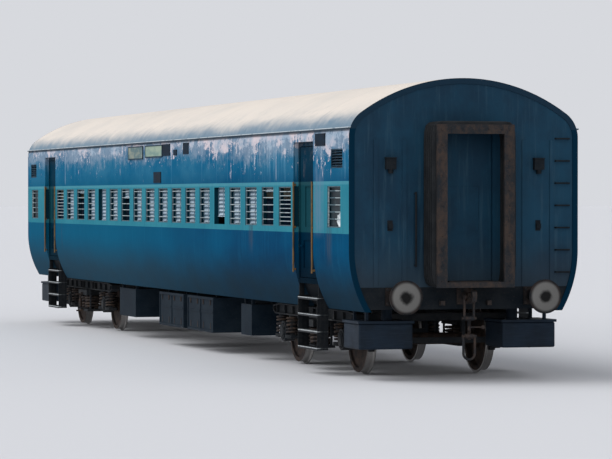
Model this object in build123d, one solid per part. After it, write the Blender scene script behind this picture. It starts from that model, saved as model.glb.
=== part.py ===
from build123d import *
import math
import os

# Broad-gauge passenger coach: all-steel body on two four-wheel bogies with coil springs.
# Millimetres. X runs along the coach, Y across it, Z up. The origin is on the ground plane
# under the middle of the coach, at the lowest points of the wheel flanges.

# Rail level. Heights below are given above the rail head and shifted by RAIL.
RAIL = 28.5  # flange depth below the tread, so flanges touch Z = 0

# Body shell
BODY_LENGTH = 21337.0
BODY_HALF_WIDTH = 1622.5
WALL = 75.0
CROWN = RAIL + 4025.0
SKIRT_BOTTOM = RAIL + 900.0
TURN_UNDER_TOP = RAIL + 1720.0
TURN_UNDER_RADIUS = 1600.0
CANTRAIL_RADIUS = 400.0
ROOF_RADIUS = 2500.0
WINDOW_SILL = RAIL + 2020.0
WINDOW_HEAD = RAIL + 2580.0
DOORWAY_HEAD = RAIL + 3200.0
GUTTER = RAIL + 3340.0
END_X = BODY_LENGTH / 2
END_WALL = 60.0
END_RECESS = 15.0

# Floor and frame
FLOOR_TOP = RAIL + 1303.0
FLOOR_BOTTOM = RAIL + 1228.0
FLOOR_HALF_WIDTH = 1462.0
SOLEBAR_BOTTOM = RAIL + 930.0
SOLEBAR_INNER = 1180.0
SOLEBAR_WEB = 1240.0
CROSS_BEARER_DEPTH = 130.0
PIPE_HEIGHT = RAIL + 1015.0
PIPE_RADIUS = 17.0
PIPE_Y = (-330.0, 330.0)
CROSS_BEARER_WIDTH = 80.0
HEADSTOCK_DEPTH = 150.0
HEADSTOCK_HOLLOW = 1150.0

# Bays and windows
BAYS = 9
BAY = 1791.4
WINDOW_WIDTH = 620.0
GRILLE_BARS = (5, 104.0, 20.0)  # number of level bars, their pitch, and how far above the middle
CLOSE_GRILLE_BARS = (8, 60.0, 0.0)  # beside the doors, so that no hand reaches the latch
LAVATORY_BARS = (5, 95.0, 25.0)
EMERGENCY_WINDOWS = (5, 14)  # numbered 1 to 18 from the -X end, these have no bars

# Side doorways
DOORWAY_INNER = 8050.0
DOORWAY_OUTER = 9010.0
DOOR_POST = 60.0
DOOR_FACE = 1535.0
DOOR_THICKNESS = 40.0
DOOR_GAP = 5.0

# End doorways and gangways
END_DOORWAY_HALF = 400.0
END_DOORWAY_HEAD = RAIL + 3270.0
GANGWAY_FACE = 11120.0
GANGWAY_HALF_WIDTH = 590.0
GANGWAY_TOP = RAIL + 3440.0
GANGWAY_BOTTOM = RAIL + 1230.0

# Buffing and draw gear
BUFFER_HEIGHT = RAIL + 1105.0
BUFFER_SPACING = 1956.0
BUFFER_FACE = 22297.0 / 2
BUFFER_HEAD_RADIUS = 228.5
BUFFER_DOME = 18.0
BUFFER_FLAT_RADIUS = 75.0

# Bogies
BOGIE_CENTRES = 14783.0
WHEELBASE = 2896.0
WHEEL_RADIUS = 457.5
FLANGE_RADIUS = WHEEL_RADIUS + RAIL
WHEEL_BACK = 800.0  # half of the distance between wheel backs
RIM_WIDTH = 127.0
AXLE_HEIGHT = RAIL + WHEEL_RADIUS
AXLE_RADIUS = 82.5
JOURNAL_RADIUS = 65.0
JOURNAL_CENTRE = 1079.5
JOURNAL_END = 1130.0
SIDE_FRAME_WIDTH = 140.0
SIDE_FRAME_TOP = RAIL + 860.0
SIDE_FRAME_BOTTOM = RAIL + 700.0
BOGIE_HALF_LENGTH = 2040.0
TRANSOM_X = (330.0, 470.0)
PRIMARY_SPRING_OFFSET = 262.0
PRIMARY_SPRING_RADIUS = 107.0
PRIMARY_SPRING_WIRE = 16.75
BOLSTER_SPRING_RADIUS = 150.0
BOLSTER_SPRING_WIRE = 21.0
BOLSTER_SPRING_OFFSET = 182.0
SPRING_SEAT = RAIL + 400.0
SEAT_DEPTH = 10.0
PLANK_TOP = RAIL + 330.0
BOLSTER_TOP = RAIL + 900.0
SIDE_BEARER_Y = 800.0
SIDE_BEARER_GAP = 5.0

SIDES = (-1, 1)
ENDS = (-1, 1)

parts = {}


def keep(name, *shapes):
    """Adds the shapes' solids to the named piece."""
    solids = parts.setdefault(name, [])
    for shape in shapes:
        solids.extend(shape.solids())


def block(x0, x1, y0, y1, z0, z1):
    """A rectangular block between two corners given in any order."""
    size = (abs(x1 - x0), abs(y1 - y0), abs(z1 - z0))
    centre = ((x0 + x1) / 2, (y0 + y1) / 2, (z0 + z1) / 2)
    return Pos(*centre) * Box(*size)


def rod_x(radius, x0, x1, y, z):
    return Pos((x0 + x1) / 2, y, z) * Rot(0, 90, 0) * Cylinder(radius, abs(x1 - x0))


def rod_y(radius, x, y0, y1, z):
    return Pos(x, (y0 + y1) / 2, z) * Rot(90, 0, 0) * Cylinder(radius, abs(y1 - y0))


def rod_z(radius, x, y, z0, z1):
    return Pos(x, y, (z0 + z1) / 2) * Cylinder(radius, abs(z1 - z0))


def window_centres():
    """X of the 18 saloon windows, two to a bay, from the -X end."""
    first = -(BAYS - 0.5) * BAY / 2
    return [first + k * BAY / 2 for k in range(2 * BAYS)]


def body_section(inset):
    """The body's cross-section, drawn inwards by inset, as a closed face in the YZ plane."""
    width = BODY_HALF_WIDTH - inset
    turn = TURN_UNDER_RADIUS - inset
    cant = CANTRAIL_RADIUS - inset
    roof = ROOF_RADIUS - inset
    turn_y = BODY_HALF_WIDTH - TURN_UNDER_RADIUS
    cant_y = BODY_HALF_WIDTH - CANTRAIL_RADIUS
    roof_z = CROWN - ROOF_RADIUS
    cant_z = roof_z + math.sqrt((ROOF_RADIUS - CANTRAIL_RADIUS) ** 2 - cant_y**2)
    lean = math.atan2(cant_y, cant_z - roof_z)

    def on_turn(z):
        return turn_y + math.sqrt(turn**2 - (TURN_UNDER_TOP - z) ** 2)

    middle_z = (TURN_UNDER_TOP + SKIRT_BOTTOM) / 2
    shoulder = (roof * math.sin(lean), roof_z + roof * math.cos(lean))
    half = math.pi / 4 + lean / 2
    elbow = (cant_y + cant * math.sin(half), cant_z + cant * math.cos(half))

    def side(sign):
        foot = (0, sign * on_turn(SKIRT_BOTTOM), SKIRT_BOTTOM)
        knee = (0, sign * on_turn(middle_z), middle_z)
        waist = (0, sign * width, TURN_UNDER_TOP)
        eaves = (0, sign * width, cant_z)
        bend = (0, sign * elbow[0], elbow[1])
        top = (0, sign * shoulder[0], shoulder[1])
        return [
            ThreePointArc(foot, knee, waist),
            Line(waist, eaves),
            ThreePointArc(eaves, bend, top),
        ], foot, top

    right, right_foot, right_top = side(-1)
    left, left_foot, left_top = side(1)
    crown = ThreePointArc(right_top, (0, 0, roof_z + roof), left_top)
    base = Line(left_foot, right_foot)
    return Face(Wire(right + [crown] + left + [base]))


def tunnel(inset, x0, x1):
    """The body section swept along the coach from x0 to x1."""
    return extrude(Pos(x0, 0, 0) * body_section(inset), amount=x1 - x0, dir=(1, 0, 0))


def shell_band(x0, x1, z0, z1, side=0):
    """The part of the hollow shell between two lengths and two heights, on one side or both."""
    y0 = 0 if side == 1 else -2000
    y1 = 0 if side == -1 else 2000
    return (tunnel(0, x0, x1) - tunnel(WALL, x0 - 1, x1 + 1)) & block(x0, x1, y0, y1, z0, z1)


# Roof, side panels and cantrails

def make_roof():
    keep("roof", shell_band(-END_X, END_X, GUTTER, CROWN + 10))
    for side in SIDES:
        lip = block(-END_X, END_X, side * 1560, side * 1634, GUTTER, GUTTER + 26)
        keep("rain_gutters", lip - tunnel(0, -END_X - 1, END_X + 1))


def make_sides():
    edges = [-DOORWAY_INNER]
    for x in window_centres():
        edges += [x - WINDOW_WIDTH / 2, x + WINDOW_WIDTH / 2]
    edges.append(DOORWAY_INNER)
    for side in SIDES:
        keep(
            "lower_side_panels",
            shell_band(-DOORWAY_INNER, DOORWAY_INNER, SKIRT_BOTTOM, WINDOW_SILL, side),
        )
        keep(
            "upper_side_panels",
            shell_band(-DOORWAY_INNER, DOORWAY_INNER, WINDOW_HEAD, DOORWAY_HEAD, side),
        )
        keep("cantrails", shell_band(-END_X, END_X, DOORWAY_HEAD, GUTTER, side))
        y0 = side * BODY_HALF_WIDTH
        y1 = side * (BODY_HALF_WIDTH - WALL)
        for x0, x1 in zip(edges[0::2], edges[1::2]):
            keep("window_pillars", block(x0, x1, y0, y1, WINDOW_SILL, WINDOW_HEAD))


# The lavatory corners beyond the doorways, each with a window and a louvred ventilator above it
LAVATORY_WINDOW = (9680.0, 10275.0)
LAVATORY_VENT = (9840.0, 10370.0, RAIL + 2820.0, RAIL + 3080.0)
LAVATORY_SLATS = 6


def make_lavatory_corners():
    wx0, wx1 = LAVATORY_WINDOW
    vx0, vx1, vz0, vz1 = LAVATORY_VENT
    for end in ENDS:
        for side in SIDES:
            x0, x1 = sorted((end * DOORWAY_OUTER, end * END_X))
            panel = shell_band(x0, x1, SKIRT_BOTTOM, DOORWAY_HEAD, side)
            panel -= block(end * wx0, end * wx1, 0, side * 1700, WINDOW_SILL, WINDOW_HEAD)
            panel -= block(end * vx0, end * vx1, 0, side * 1700, vz0, vz1)
            keep("end_side_panels", panel)
            pane_y = side * (BODY_HALF_WIDTH - 45)
            pane = block(end * wx0, end * wx1, pane_y, pane_y - side * 6, WINDOW_SILL, WINDOW_HEAD)
            keep("lavatory_panes", pane)
            keep("window_grilles", grille(end * (wx0 + wx1) / 2, wx1 - wx0, side, LAVATORY_BARS))
            keep("lavatory_louvres", louvre(end, side, vx0, vx1, vz0, vz1))


def louvre(end, side, x0, x1, z0, z1):
    """A framed ventilator with sloping slats."""
    outer = BODY_HALF_WIDTH - 4
    frame = block(end * x0, end * x1, side * outer, side * (outer - 40), z0, z1)
    rim = 18
    frame -= block(end * (x0 + rim), end * (x1 - rim), 0, side * 1700, z0 + rim, z1 - rim)
    pitch = (z1 - z0 - 2 * rim) / LAVATORY_SLATS
    for k in range(LAVATORY_SLATS):
        z = z0 + rim + (k + 0.5) * pitch
        slat = Rot(side * -35, 0, 0) * Box(x1 - x0 - rim, 34, 5)
        frame += Pos(end * (x0 + x1) / 2, side * (outer - 20), z) * slat
    return frame


def grille(x, width, side, bars):
    """A window's guard: a flat rim set in the opening, crossed by level bars."""
    outer = side * (BODY_HALF_WIDTH - 8)
    inner = side * (BODY_HALF_WIDTH - 26)
    rim = 14
    piece = block(x - width / 2, x + width / 2, outer, inner, WINDOW_SILL, WINDOW_HEAD)
    bar = 11
    count, pitch, lift = bars
    middle = (WINDOW_SILL + WINDOW_HEAD) / 2 + lift
    edges = [WINDOW_SILL + rim]
    for k in range(count):
        z = middle + (k - (count - 1) / 2) * pitch
        edges += [z - bar / 2, z + bar / 2]
    edges.append(WINDOW_HEAD - rim)
    for z0, z1 in zip(edges[0::2], edges[1::2]):
        piece -= block(x - width / 2 + rim, x + width / 2 - rim, 0, side * 1700, z0, z1)
    return piece


# How far each saloon window's pressed shutter is drawn down, as a share of the opening
SHUTTERS = {1: 0.0, 2: 1.0, 3: 0.14, 4: 1.0, 5: 1.0, 6: 1.0, 7: 0.3, 8: 1.0, 9: 1.0, 10: 1.0,
            11: 1.0, 12: 1.0, 13: 1.0, 14: 0.8, 15: 1.0, 16: 1.0, 17: 0.13, 18: 0.0}
SHUTTER_ROWS = 9
SHUTTER_STILE = 26.0


def make_windows():
    last = 2 * BAYS
    for number, x in enumerate(window_centres(), start=1):
        bars = CLOSE_GRILLE_BARS if number in (1, last) else GRILLE_BARS
        for side in SIDES:
            place = number if side == -1 else last + 1 - number
            if place not in EMERGENCY_WINDOWS:
                keep("window_grilles", grille(x, WINDOW_WIDTH, side, bars))
            if SHUTTERS[place] > 0:
                keep("window_shutters", shutter(x, side, SHUTTERS[place]))


def shutter(x, side, share):
    """A drop shutter: a flat sheet with thicker edges and two columns of pressed louvres."""
    face = BODY_HALF_WIDTH - 44
    back = face - 14
    low = WINDOW_HEAD - (WINDOW_HEAD - WINDOW_SILL) * share
    half = WINDOW_WIDTH / 2
    stile = SHUTTER_STILE
    piece = block(x - half, x + half, side * (face - 2), side * back, low, WINDOW_HEAD)
    rows = max(1, round(SHUTTER_ROWS * share))
    pitch = (WINDOW_HEAD - low - stile) / rows
    lip = 0.3 * pitch
    for x0, x1 in ((x - half + stile, x - stile / 2), (x + stile / 2, x + half - stile)):
        piece -= block(x0, x1, side * (face - 8), side * 1700, low + stile / 2, WINDOW_HEAD - stile / 2)
        section = [(face - 10, low + stile / 2)]
        for k in range(rows):
            z = low + stile / 2 + k * pitch
            section += [(face - 8, z), (face, z + lip), (face - 8, z + pitch - 6)]
        section.append((face - 10, WINDOW_HEAD - stile / 2))
        outline = Polyline([(x0, side * y, z) for y, z in section], close=True)
        piece += extrude(make_face(outline), amount=x1 - x0, dir=(1, 0, 0))
    return piece


# Plates on the sides, all blank: (x0, x1, z0, z1) as seen on the -Y side
SIDE_BOARDS = ((-1980.0, -930.0, 3080.0, 3290.0), (-740.0, 420.0, 3100.0, 3290.0),
               (440.0, 930.0, 3110.0, 3300.0), (1180.0, 1400.0, 3110.0, 3200.0),
               (1810.0, 2150.0, 3120.0, 3300.0), (-170.0, 330.0, 2670.0, 2850.0),
               (9130.0, 9590.0, 3130.0, 3300.0))
BOARD_THICKNESS = 11.0


def make_boards():
    for x0, x1, z0, z1 in SIDE_BOARDS:
        for side in SIDES:
            y0 = side * BODY_HALF_WIDTH
            y1 = side * (BODY_HALF_WIDTH + BOARD_THICKNESS)
            keep("sign_boards", block(-side * x0, -side * x1, y0, y1, RAIL + z0, RAIL + z1))


# End walls with the gangways between coaches

def make_ends():
    outer = END_X - END_RECESS
    inner = outer - END_WALL
    opening = END_DOORWAY_HALF
    for end in ENDS:
        x0, x1 = sorted((end * inner, end * outer))
        wall = tunnel(WALL, x0, x1) & block(x0, x1, -2000, 2000, FLOOR_BOTTOM, CROWN)
        wall -= block(x0 - 1, x1 + 1, -opening, opening, FLOOR_TOP, END_DOORWAY_HEAD)
        for y in END_RIBS:
            wall += block(end * outer, end * (outer + 12), y - 30, y + 30, FLOOR_BOTTOM, DOORWAY_HEAD)
        keep("end_walls", wall)
        keep("gangway_bellows", bellows(end, outer, GANGWAY_FACE - 40))
        edge = GANGWAY_HALF_WIDTH - 45
        frame = block(
            end * (GANGWAY_FACE - 40), end * GANGWAY_FACE, -edge, edge, GANGWAY_BOTTOM, GANGWAY_TOP - 45
        )
        frame -= block(end * 9000, end * 12000, -opening, opening, FLOOR_TOP, END_DOORWAY_HEAD)
        keep("gangway_faceplates", frame)
        tread = block(
            end * outer, end * (GANGWAY_FACE - 45), -opening + 40, opening - 40,
            FLOOR_TOP + 2, FLOOR_TOP + 10,
        )
        keep("gangway_footplates", tread)
        keep("end_fittings", *end_fittings(end))


def end_fittings(end):
    """Grab rails beside the gangway, lamp irons, sockets for jumper cables and a ladder of rungs."""
    base = end * (END_X - END_RECESS)
    out = base + end * 55
    pieces = []
    for side in SIDES:
        y = side * 700
        rail = rod_z(14, out, y, RAIL + 1500, RAIL + 2500)
        for z in (RAIL + 1520, RAIL + 2480):
            rail += rod_x(11, base, out, y, z)
        pieces.append(rail)
        y = side * 1050
        pieces.append(block(base, base + end * 8, y - 35, y + 35, RAIL + 1980, RAIL + 2120)
                      + block(base, base + end * 45, y - 30, y + 30, RAIL + 2010, RAIL + 2018)
                      + block(base + end * 38, base + end * 45, y - 30, y + 30, RAIL + 2010, RAIL + 2075))
        socket = block(base, base + end * 70, y - 70, y + 70, RAIL + 2800, RAIL + 2960)
        socket += block(base, base + end * 84, y - 76, y + 76, RAIL + 2946, RAIL + 2960)
        socket += rod_z(34, base + end * 35, y, RAIL + 2745, RAIL + 2800)
        pieces.append(socket)
    for k in range(7):
        z = RAIL + 1420 + 300 * k
        rung = rod_y(11, out, end * 1290, end * 1490, z)
        for y in (end * 1300, end * 1480):
            rung += rod_x(11, base, out + end * 8, y, z)
        pieces.append(rung)
    return pieces


END_RIBS = (-1250.0, -850.0, 850.0, 1250.0)  # pressed stiffeners beside the gangway
BELLOWS_FOLDS = 5
BELLOWS_DEPTH = 80.0


def bellows(end, x0, x1):
    """The folded rubber-cloth tunnel between the end wall and the faceplate."""
    step = (x1 - x0) / (2 * BELLOWS_FOLDS)
    rings = []
    for k in range(2 * BELLOWS_FOLDS + 1):
        shrink = BELLOWS_DEPTH if k % 2 == 0 else 0
        width = 2 * (GANGWAY_HALF_WIDTH - shrink)
        low = GANGWAY_BOTTOM + (30 if k % 2 == 0 else 0)
        high = GANGWAY_TOP - shrink
        plane = Plane(
            origin=(end * (x0 + k * step), 0, (low + high) / 2), x_dir=(0, 1, 0), z_dir=(1, 0, 0)
        )
        rings.append(plane * Rectangle(width, high - low))
    if end == -1:
        rings.reverse()
    body = loft([ring.face() for ring in rings], ruled=True)
    half = END_DOORWAY_HALF
    return body - block(end * 9000, end * 12000, -half, half, FLOOR_TOP, END_DOORWAY_HEAD)


# Floor, solebars, cross-bearers, headstocks and bolsters

def make_underframe():
    inner = END_X - END_RECESS - END_WALL
    keep(
        "floor",
        block(-inner, inner, -FLOOR_HALF_WIDTH, FLOOR_HALF_WIDTH, FLOOR_BOTTOM, FLOOR_TOP),
    )
    beam_end = END_X - END_RECESS - HEADSTOCK_DEPTH
    for side in SIDES:
        beam = block(-beam_end, beam_end, side * SOLEBAR_INNER, side * 1600, SOLEBAR_BOTTOM, FLOOR_BOTTOM)
        beam &= tunnel(WALL, -beam_end, beam_end)
        hollow = block(
            -beam_end - 1, beam_end + 1, side * (SOLEBAR_INNER - 1), side * SOLEBAR_WEB,
            SOLEBAR_BOTTOM + 20, FLOOR_BOTTOM - 20,
        )
        keep("solebars", beam - hollow)
    half = SOLEBAR_WEB
    for x in CROSS_BEARERS:
        x0 = x - CROSS_BEARER_WIDTH / 2
        x1 = x + CROSS_BEARER_WIDTH / 2
        low = FLOOR_BOTTOM - CROSS_BEARER_DEPTH
        bearer = block(x0, x1, -half, half, low, FLOOR_BOTTOM)
        for side in SIDES:
            bearer -= block(
                x0 - 1, x1 + 1, side * (SOLEBAR_INNER - 1), side * (half + 1),
                FLOOR_BOTTOM - 20, FLOOR_BOTTOM,
            )
        keep("cross_bearers", bearer)
    for end in ENDS:
        make_headstock(end)
        make_body_bolster(end)


CROSS_BEARERS = tuple(end * x for end in ENDS for x in (800.0, 2400.0, 4000.0, 5500.0, 9400.0))


def make_headstock(end):
    outer = end * (END_X - END_RECESS)
    inner = end * (END_X - END_RECESS - HEADSTOCK_DEPTH)
    x0, x1 = sorted((inner, outer))
    beam = tunnel(WALL, x0, x1) & block(x0, x1, -2000, 2000, SOLEBAR_BOTTOM, FLOOR_BOTTOM)
    hollow = block(
        end * 10000, outer - end * 20, -HEADSTOCK_HOLLOW, HEADSTOCK_HOLLOW,
        SOLEBAR_BOTTOM + 20, FLOOR_BOTTOM - 20,
    )
    beam -= hollow
    for y in PIPE_Y:
        beam -= rod_x(PIPE_RADIUS, end * 10000, end * 11000, y, PIPE_HEIGHT)
    keep("headstocks", beam)


def make_body_bolster(end):
    x = end * BOGIE_CENTRES / 2
    half = SOLEBAR_INNER
    low = RAIL + 1048
    beam = block(x - 200, x + 200, -half, half, low, FLOOR_BOTTOM)
    beam += rod_z(75, x, 0, BOLSTER_TOP - 160, low)
    for side in SIDES:
        beam += rod_z(110, x, side * SIDE_BEARER_Y, BOLSTER_TOP + SIDE_BEARER_GAP, low)
    keep("body_bolsters", beam)


# Side doorways, doors, steps and handrails

def make_doorways():
    for end in ENDS:
        for side in SIDES:
            x0 = end * DOORWAY_INNER
            x1 = end * DOORWAY_OUTER
            frame = block(x0, x1, side * 1545, side * 1465, FLOOR_BOTTOM, DOORWAY_HEAD)
            frame -= block(
                x0 + end * DOOR_POST, x1 - end * DOOR_POST, side * 1600, side * 1400,
                FLOOR_TOP, DOORWAY_HEAD - 60,
            )
            keep("door_frames", frame)
            keep(door_name(end, side), door(end, side))
            keep("door_steps", steps(end, side))
            for x in (DOORWAY_INNER, DOORWAY_OUTER):
                keep("door_handrails", handrail(end * x, -end if x > 8500 else end, side))


def door_name(end, side):
    return ("right" if side == -1 else "left") + ("_front" if end == 1 else "_rear") + "_door"


def door(end, side):
    """A steel leaf that swings inwards, with a shuttered window and a panelled lower half."""
    x0 = DOORWAY_INNER + DOOR_POST + DOOR_GAP
    x1 = DOORWAY_OUTER - DOOR_POST - DOOR_GAP
    low = FLOOR_TOP + 8
    high = DOORWAY_HEAD - 68
    face = side * DOOR_FACE
    back = side * (DOOR_FACE - DOOR_THICKNESS)
    leaf = block(end * x0, end * x1, face, back, low, high)
    middle = (x0 + x1) / 2
    panel = 13 * side
    for half, z0, z1 in ((190, WINDOW_SILL, WINDOW_HEAD), (270, low + 130, WINDOW_SILL - 190)):
        leaf -= block(end * (middle - half), end * (middle + half), face, face - panel, z0, z1)
        leaf -= block(end * (middle - half), end * (middle + half), back, back + panel, z0, z1)
    latch = x0 + 70
    for y0, y1 in ((face, face + side * 30), (back, back - side * 30)):
        z = RAIL + 2000 - 260
        leaf += block(end * (latch - 12), end * (latch + 12), y0, y1, z, z + 24)
        tip = (y0 + 2 * y1) / 3
        leaf += block(end * (latch - 12), end * (latch + 120), tip, y1, z, z + 24)
    return leaf


STEP_TREADS = (350.0, 580.0, 810.0, 1040.0)


def steps(end, side):
    """Footsteps below a doorway: two hangers that carry four folded treads."""
    x0, x1 = DOORWAY_INNER + 12, DOORWAY_OUTER - 12
    y0, y1 = 1400, 1560
    piece = None
    for x in (x0, x1 - 10):
        hanger = block(end * x, end * (x + 10), side * y0, side * y1, RAIL + 320, RAIL + 1060)
        hanger += block(end * x, end * (x + 10), side * 1470, side * 1540, RAIL + 1060, FLOOR_BOTTOM)
        piece = hanger if piece is None else piece + hanger
    for top in STEP_TREADS:
        piece += block(end * x0, end * x1, side * y0, side * y1, RAIL + top - 6, RAIL + top)
        piece += block(end * x0, end * x1, side * (y1 - 6), side * y1, RAIL + top - 34, RAIL + top)
    return piece


HANDRAIL_RADIUS = 12.5


def handrail(jamb, outwards, side):
    """A vertical grab rail just proud of the side, on three brackets from a doorway's jamb."""
    x = jamb + outwards * 26
    y = BODY_HALF_WIDTH + 9
    z0, z1 = RAIL + 1380, RAIL + 2645
    rail = rod_z(HANDRAIL_RADIUS, x, side * y, z0, z1)
    for z in (z0 + 40, (z0 + z1) / 2, z1 - 40):
        rail += block(jamb, x + outwards * 4, side * (y - 36), side * (y + 4), z - 14, z + 14)
    return rail


def make_end_doors():
    for end, name in ((1, "front_end_door"), (-1, "rear_end_door")):
        x1 = END_X - END_RECESS - END_WALL - 8
        leaf = block(
            end * (x1 - 35), end * x1, -END_DOORWAY_HALF - 12, END_DOORWAY_HALF + 12,
            FLOOR_TOP + 8, END_DOORWAY_HEAD + 14,
        )
        for face in (x1 - 35, x1 - 10):
            leaf -= block(end * face, end * (face + 10), -230, 230, WINDOW_SILL - 60, WINDOW_HEAD)
        keep(name, leaf)


# Saloon and lavatory fittings that show through the windows and open doors
PARTITION = 40.0
BERTH_END = 400.0  # inner end of the cross berths, at the aisle
AISLE_BERTH = 930.0  # inner edge of the berths along the other side
BERTH_DEPTH = 590.0
BERTH_TIERS = (FLOOR_TOP + 450, FLOOR_TOP + 1610)
BERTH_THICKNESS = 60.0
CEILING = RAIL + 3390.0


def make_saloon():
    inside = BODY_HALF_WIDTH - WALL
    for k in range(BAYS + 1):
        x = (k - BAYS / 2) * BAY
        end = 1 if x > 0 else -1
        if k in (0, BAYS):
            x = end * (DOORWAY_INNER - 50)
        wall = block(x - PARTITION / 2, x + PARTITION / 2, -inside, BERTH_END, FLOOR_TOP, CEILING)
        wall &= tunnel(WALL, x - 100, x + 100)
        keep("bay_partitions", wall)
        for towards in SIDES:
            if k == 0 and towards == -1 or k == BAYS and towards == 1:
                continue
            x0 = x + towards * PARTITION / 2
            x1 = x0 + towards * BERTH_DEPTH
            for z in BERTH_TIERS:
                keep("berths", block(x0, x1, -inside, BERTH_END, z, z + BERTH_THICKNESS))
            hung = x0 + towards * BERTH_THICKNESS
            keep("berths", block(x0, hung, -inside, BERTH_END, FLOOR_TOP + 560, FLOOR_TOP + 1120))
    half = DOORWAY_INNER - 70
    for z in BERTH_TIERS:
        keep("berths", block(-half, half, AISLE_BERTH, inside, z, z + BERTH_THICKNESS))


def make_lavatories():
    wall = 30.0
    x0 = DOORWAY_OUTER + 20
    x1 = END_X - END_RECESS - END_WALL - 55
    inner = END_DOORWAY_HALF + 15
    inside = FLOOR_HALF_WIDTH - 2
    for end in ENDS:
        for side in SIDES:
            cubicle = block(end * x0, end * x1, side * inner, side * inside, FLOOR_TOP, CEILING - 60)
            cubicle -= block(
                end * (x0 + wall), end * (x1 - wall), side * (inner + wall), side * 1700,
                FLOOR_TOP - 1, CEILING,
            )
            keep("lavatory_walls", cubicle)


# Gear under the floor

BATTERY_BOXES = ((-700.0, 930.0), (1190.0, 2810.0))
TOILET_TANK = (9710.0, 10400.0)
EQUIPMENT = ((4230.0, 4820.0, 810.0), (-3900.0, -2700.0, 830.0))


def make_underslung():
    for side in SIDES:
        for x0, x1 in BATTERY_BOXES:
            a, b = sorted((-side * x0, -side * x1))
            keep("battery_boxes", battery_box(a, b, side))
        for x0, x1, top in EQUIPMENT:
            a, b = sorted((-side * x0, -side * x1))
            box = block(a, b, side * 1330, side * 900, RAIL + 340, RAIL + top)
            for x in (a + 80, b - 120):
                box += block(x, x + 40, side * 1300, side * 1250, RAIL + top, SOLEBAR_BOTTOM)
            keep("battery_boxes", box)
        for end in ENDS:
            keep("toilet_tanks", toilet_tank(end, side))
    keep("air_reservoirs", *reservoirs())
    for end in ENDS:
        keep("brake_cylinders", *brake_cylinders(end))
    for y in PIPE_Y:
        pipe_end = END_X + 70
        cock = block(-pipe_end, -pipe_end + 70, y - 30, y + 30, PIPE_HEIGHT - 30, PIPE_HEIGHT + 30)
        pipe = rod_x(PIPE_RADIUS, -pipe_end + 30, pipe_end - 30, y, PIPE_HEIGHT)
        pipe += cock + mirror(cock, about=Plane.YZ)
        keep("brake_pipes", pipe)


def battery_box(x0, x1, side):
    y0, y1 = side * 1400, side * 720
    low, high = RAIL + 300, RAIL + 850
    box = block(x0, x1, y0, y1, low, high)
    middle = (x0 + x1) / 2
    for a, b in ((x0 + 30, middle - 20), (middle + 20, x1 - 30)):
        box -= block(a, b, y0, y0 - side * 12, low + 40, high - 40)
        box += block(a + 40, b - 40, y0 - side * 12, y0 - side * 4, low + 300, low + 330)
    for x in (x0 + 200, x1 - 240):
        box += block(x, x + 40, side * 1290, side * 1250, high, SOLEBAR_BOTTOM)
        box += block(x, x + 40, side * 800, side * 760, high, FLOOR_BOTTOM)
    return box


def toilet_tank(end, side):
    x0, x1 = TOILET_TANK
    y0, y1 = side * 1400, side * 640
    tank = block(end * x0, end * x1, y0, y1, RAIL + 390, RAIL + 735)
    tank = fillet(tank.edges(), 25)
    tank += block(end * (x0 - 15), end * (x1 + 15), y0 + side * 15, y1 - side * 15, RAIL + 735, RAIL + 770)
    tank += rod_z(75, end * (x0 + x1) / 2, side * 900, RAIL + 770, FLOOR_BOTTOM)
    for x in (x0 + 60, x1 - 100):
        tank += block(end * x, end * (x + 40), side * 1290, side * 1250, RAIL + 770, SOLEBAR_BOTTOM)
    return tank


def reservoirs():
    tanks = []
    for x, y, radius, length in ((-4700.0, 0.0, 175.0, 900.0), (4700.0, 0.0, 175.0, 900.0),
                                 (-1900.0, 250.0, 200.0, 1300.0)):
        tank = rod_x(radius, x - length / 2, x + length / 2, y, RAIL + 780)
        tank = fillet(tank.edges().filter_by(GeomType.CIRCLE), radius * 0.45)
        for strap in (x - length / 4, x + length / 4):
            tank += block(strap - 20, strap + 20, y - 30, y + 30, RAIL + 780, FLOOR_BOTTOM)
        tanks.append(tank)
    return tanks


def brake_cylinders(end):
    """A brake cylinder under the floor with its lever, slack adjuster and distributor valve."""
    x = end * 4900
    y, z = end * 500, RAIL + 900
    cylinder = rod_x(150, x - 260, x + 260, y, z)
    for flange in (x - 260, x + 236):
        cylinder += rod_x(172, flange, flange + 24, y, z)
    cylinder += rod_x(30, x - end * 480, x - end * 260, y, z)
    for strap in (x - 170, x + 130):
        cylinder += block(strap, strap + 40, y - 30, y + 30, z + 140, FLOOR_BOTTOM)
    lever = block(x - end * 505, x - end * 465, y - end * 60, y + end * 360, z - 12, z + 12)
    lever += block(x - end * 505, x - end * 465, y + end * 320, y + end * 360, z - 12, FLOOR_BOTTOM)
    valve = block(end * 3450 - 110, end * 3450 + 110, y - 120, y + 100, z - 60, z + 120)
    valve += rod_z(75, end * 3450, y - 10, z - 150, z - 60)
    valve += rod_z(55, end * 3450, y - 10, z + 120, FLOOR_BOTTOM)
    return cylinder + lever, valve


# Buffers and couplings

def make_couplings():
    base = END_X - END_RECESS
    for end in ENDS:
        for side in SIDES:
            y = side * BUFFER_SPACING / 2
            plate = block(end * base, end * (base + 25), y - 140, y + 140, BUFFER_HEIGHT - 120, BUFFER_HEIGHT + 120)
            stem = rod_x(100, end * (base + 25), end * (base + 290), y, BUFFER_HEIGHT)
            stem += rod_x(118, end * (base + 260), end * (base + 290), y, BUFFER_HEIGHT)
            stem += rod_x(78, end * (base + 290), end * (BUFFER_FACE - 26), y, BUFFER_HEIGHT)
            head = buffer_head(end, y)
            keep("buffers", plate + stem + head)
        keep("draw_hooks", draw_hook(end, base))
        keep("screw_couplings", screw_coupling(end, base))


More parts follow.
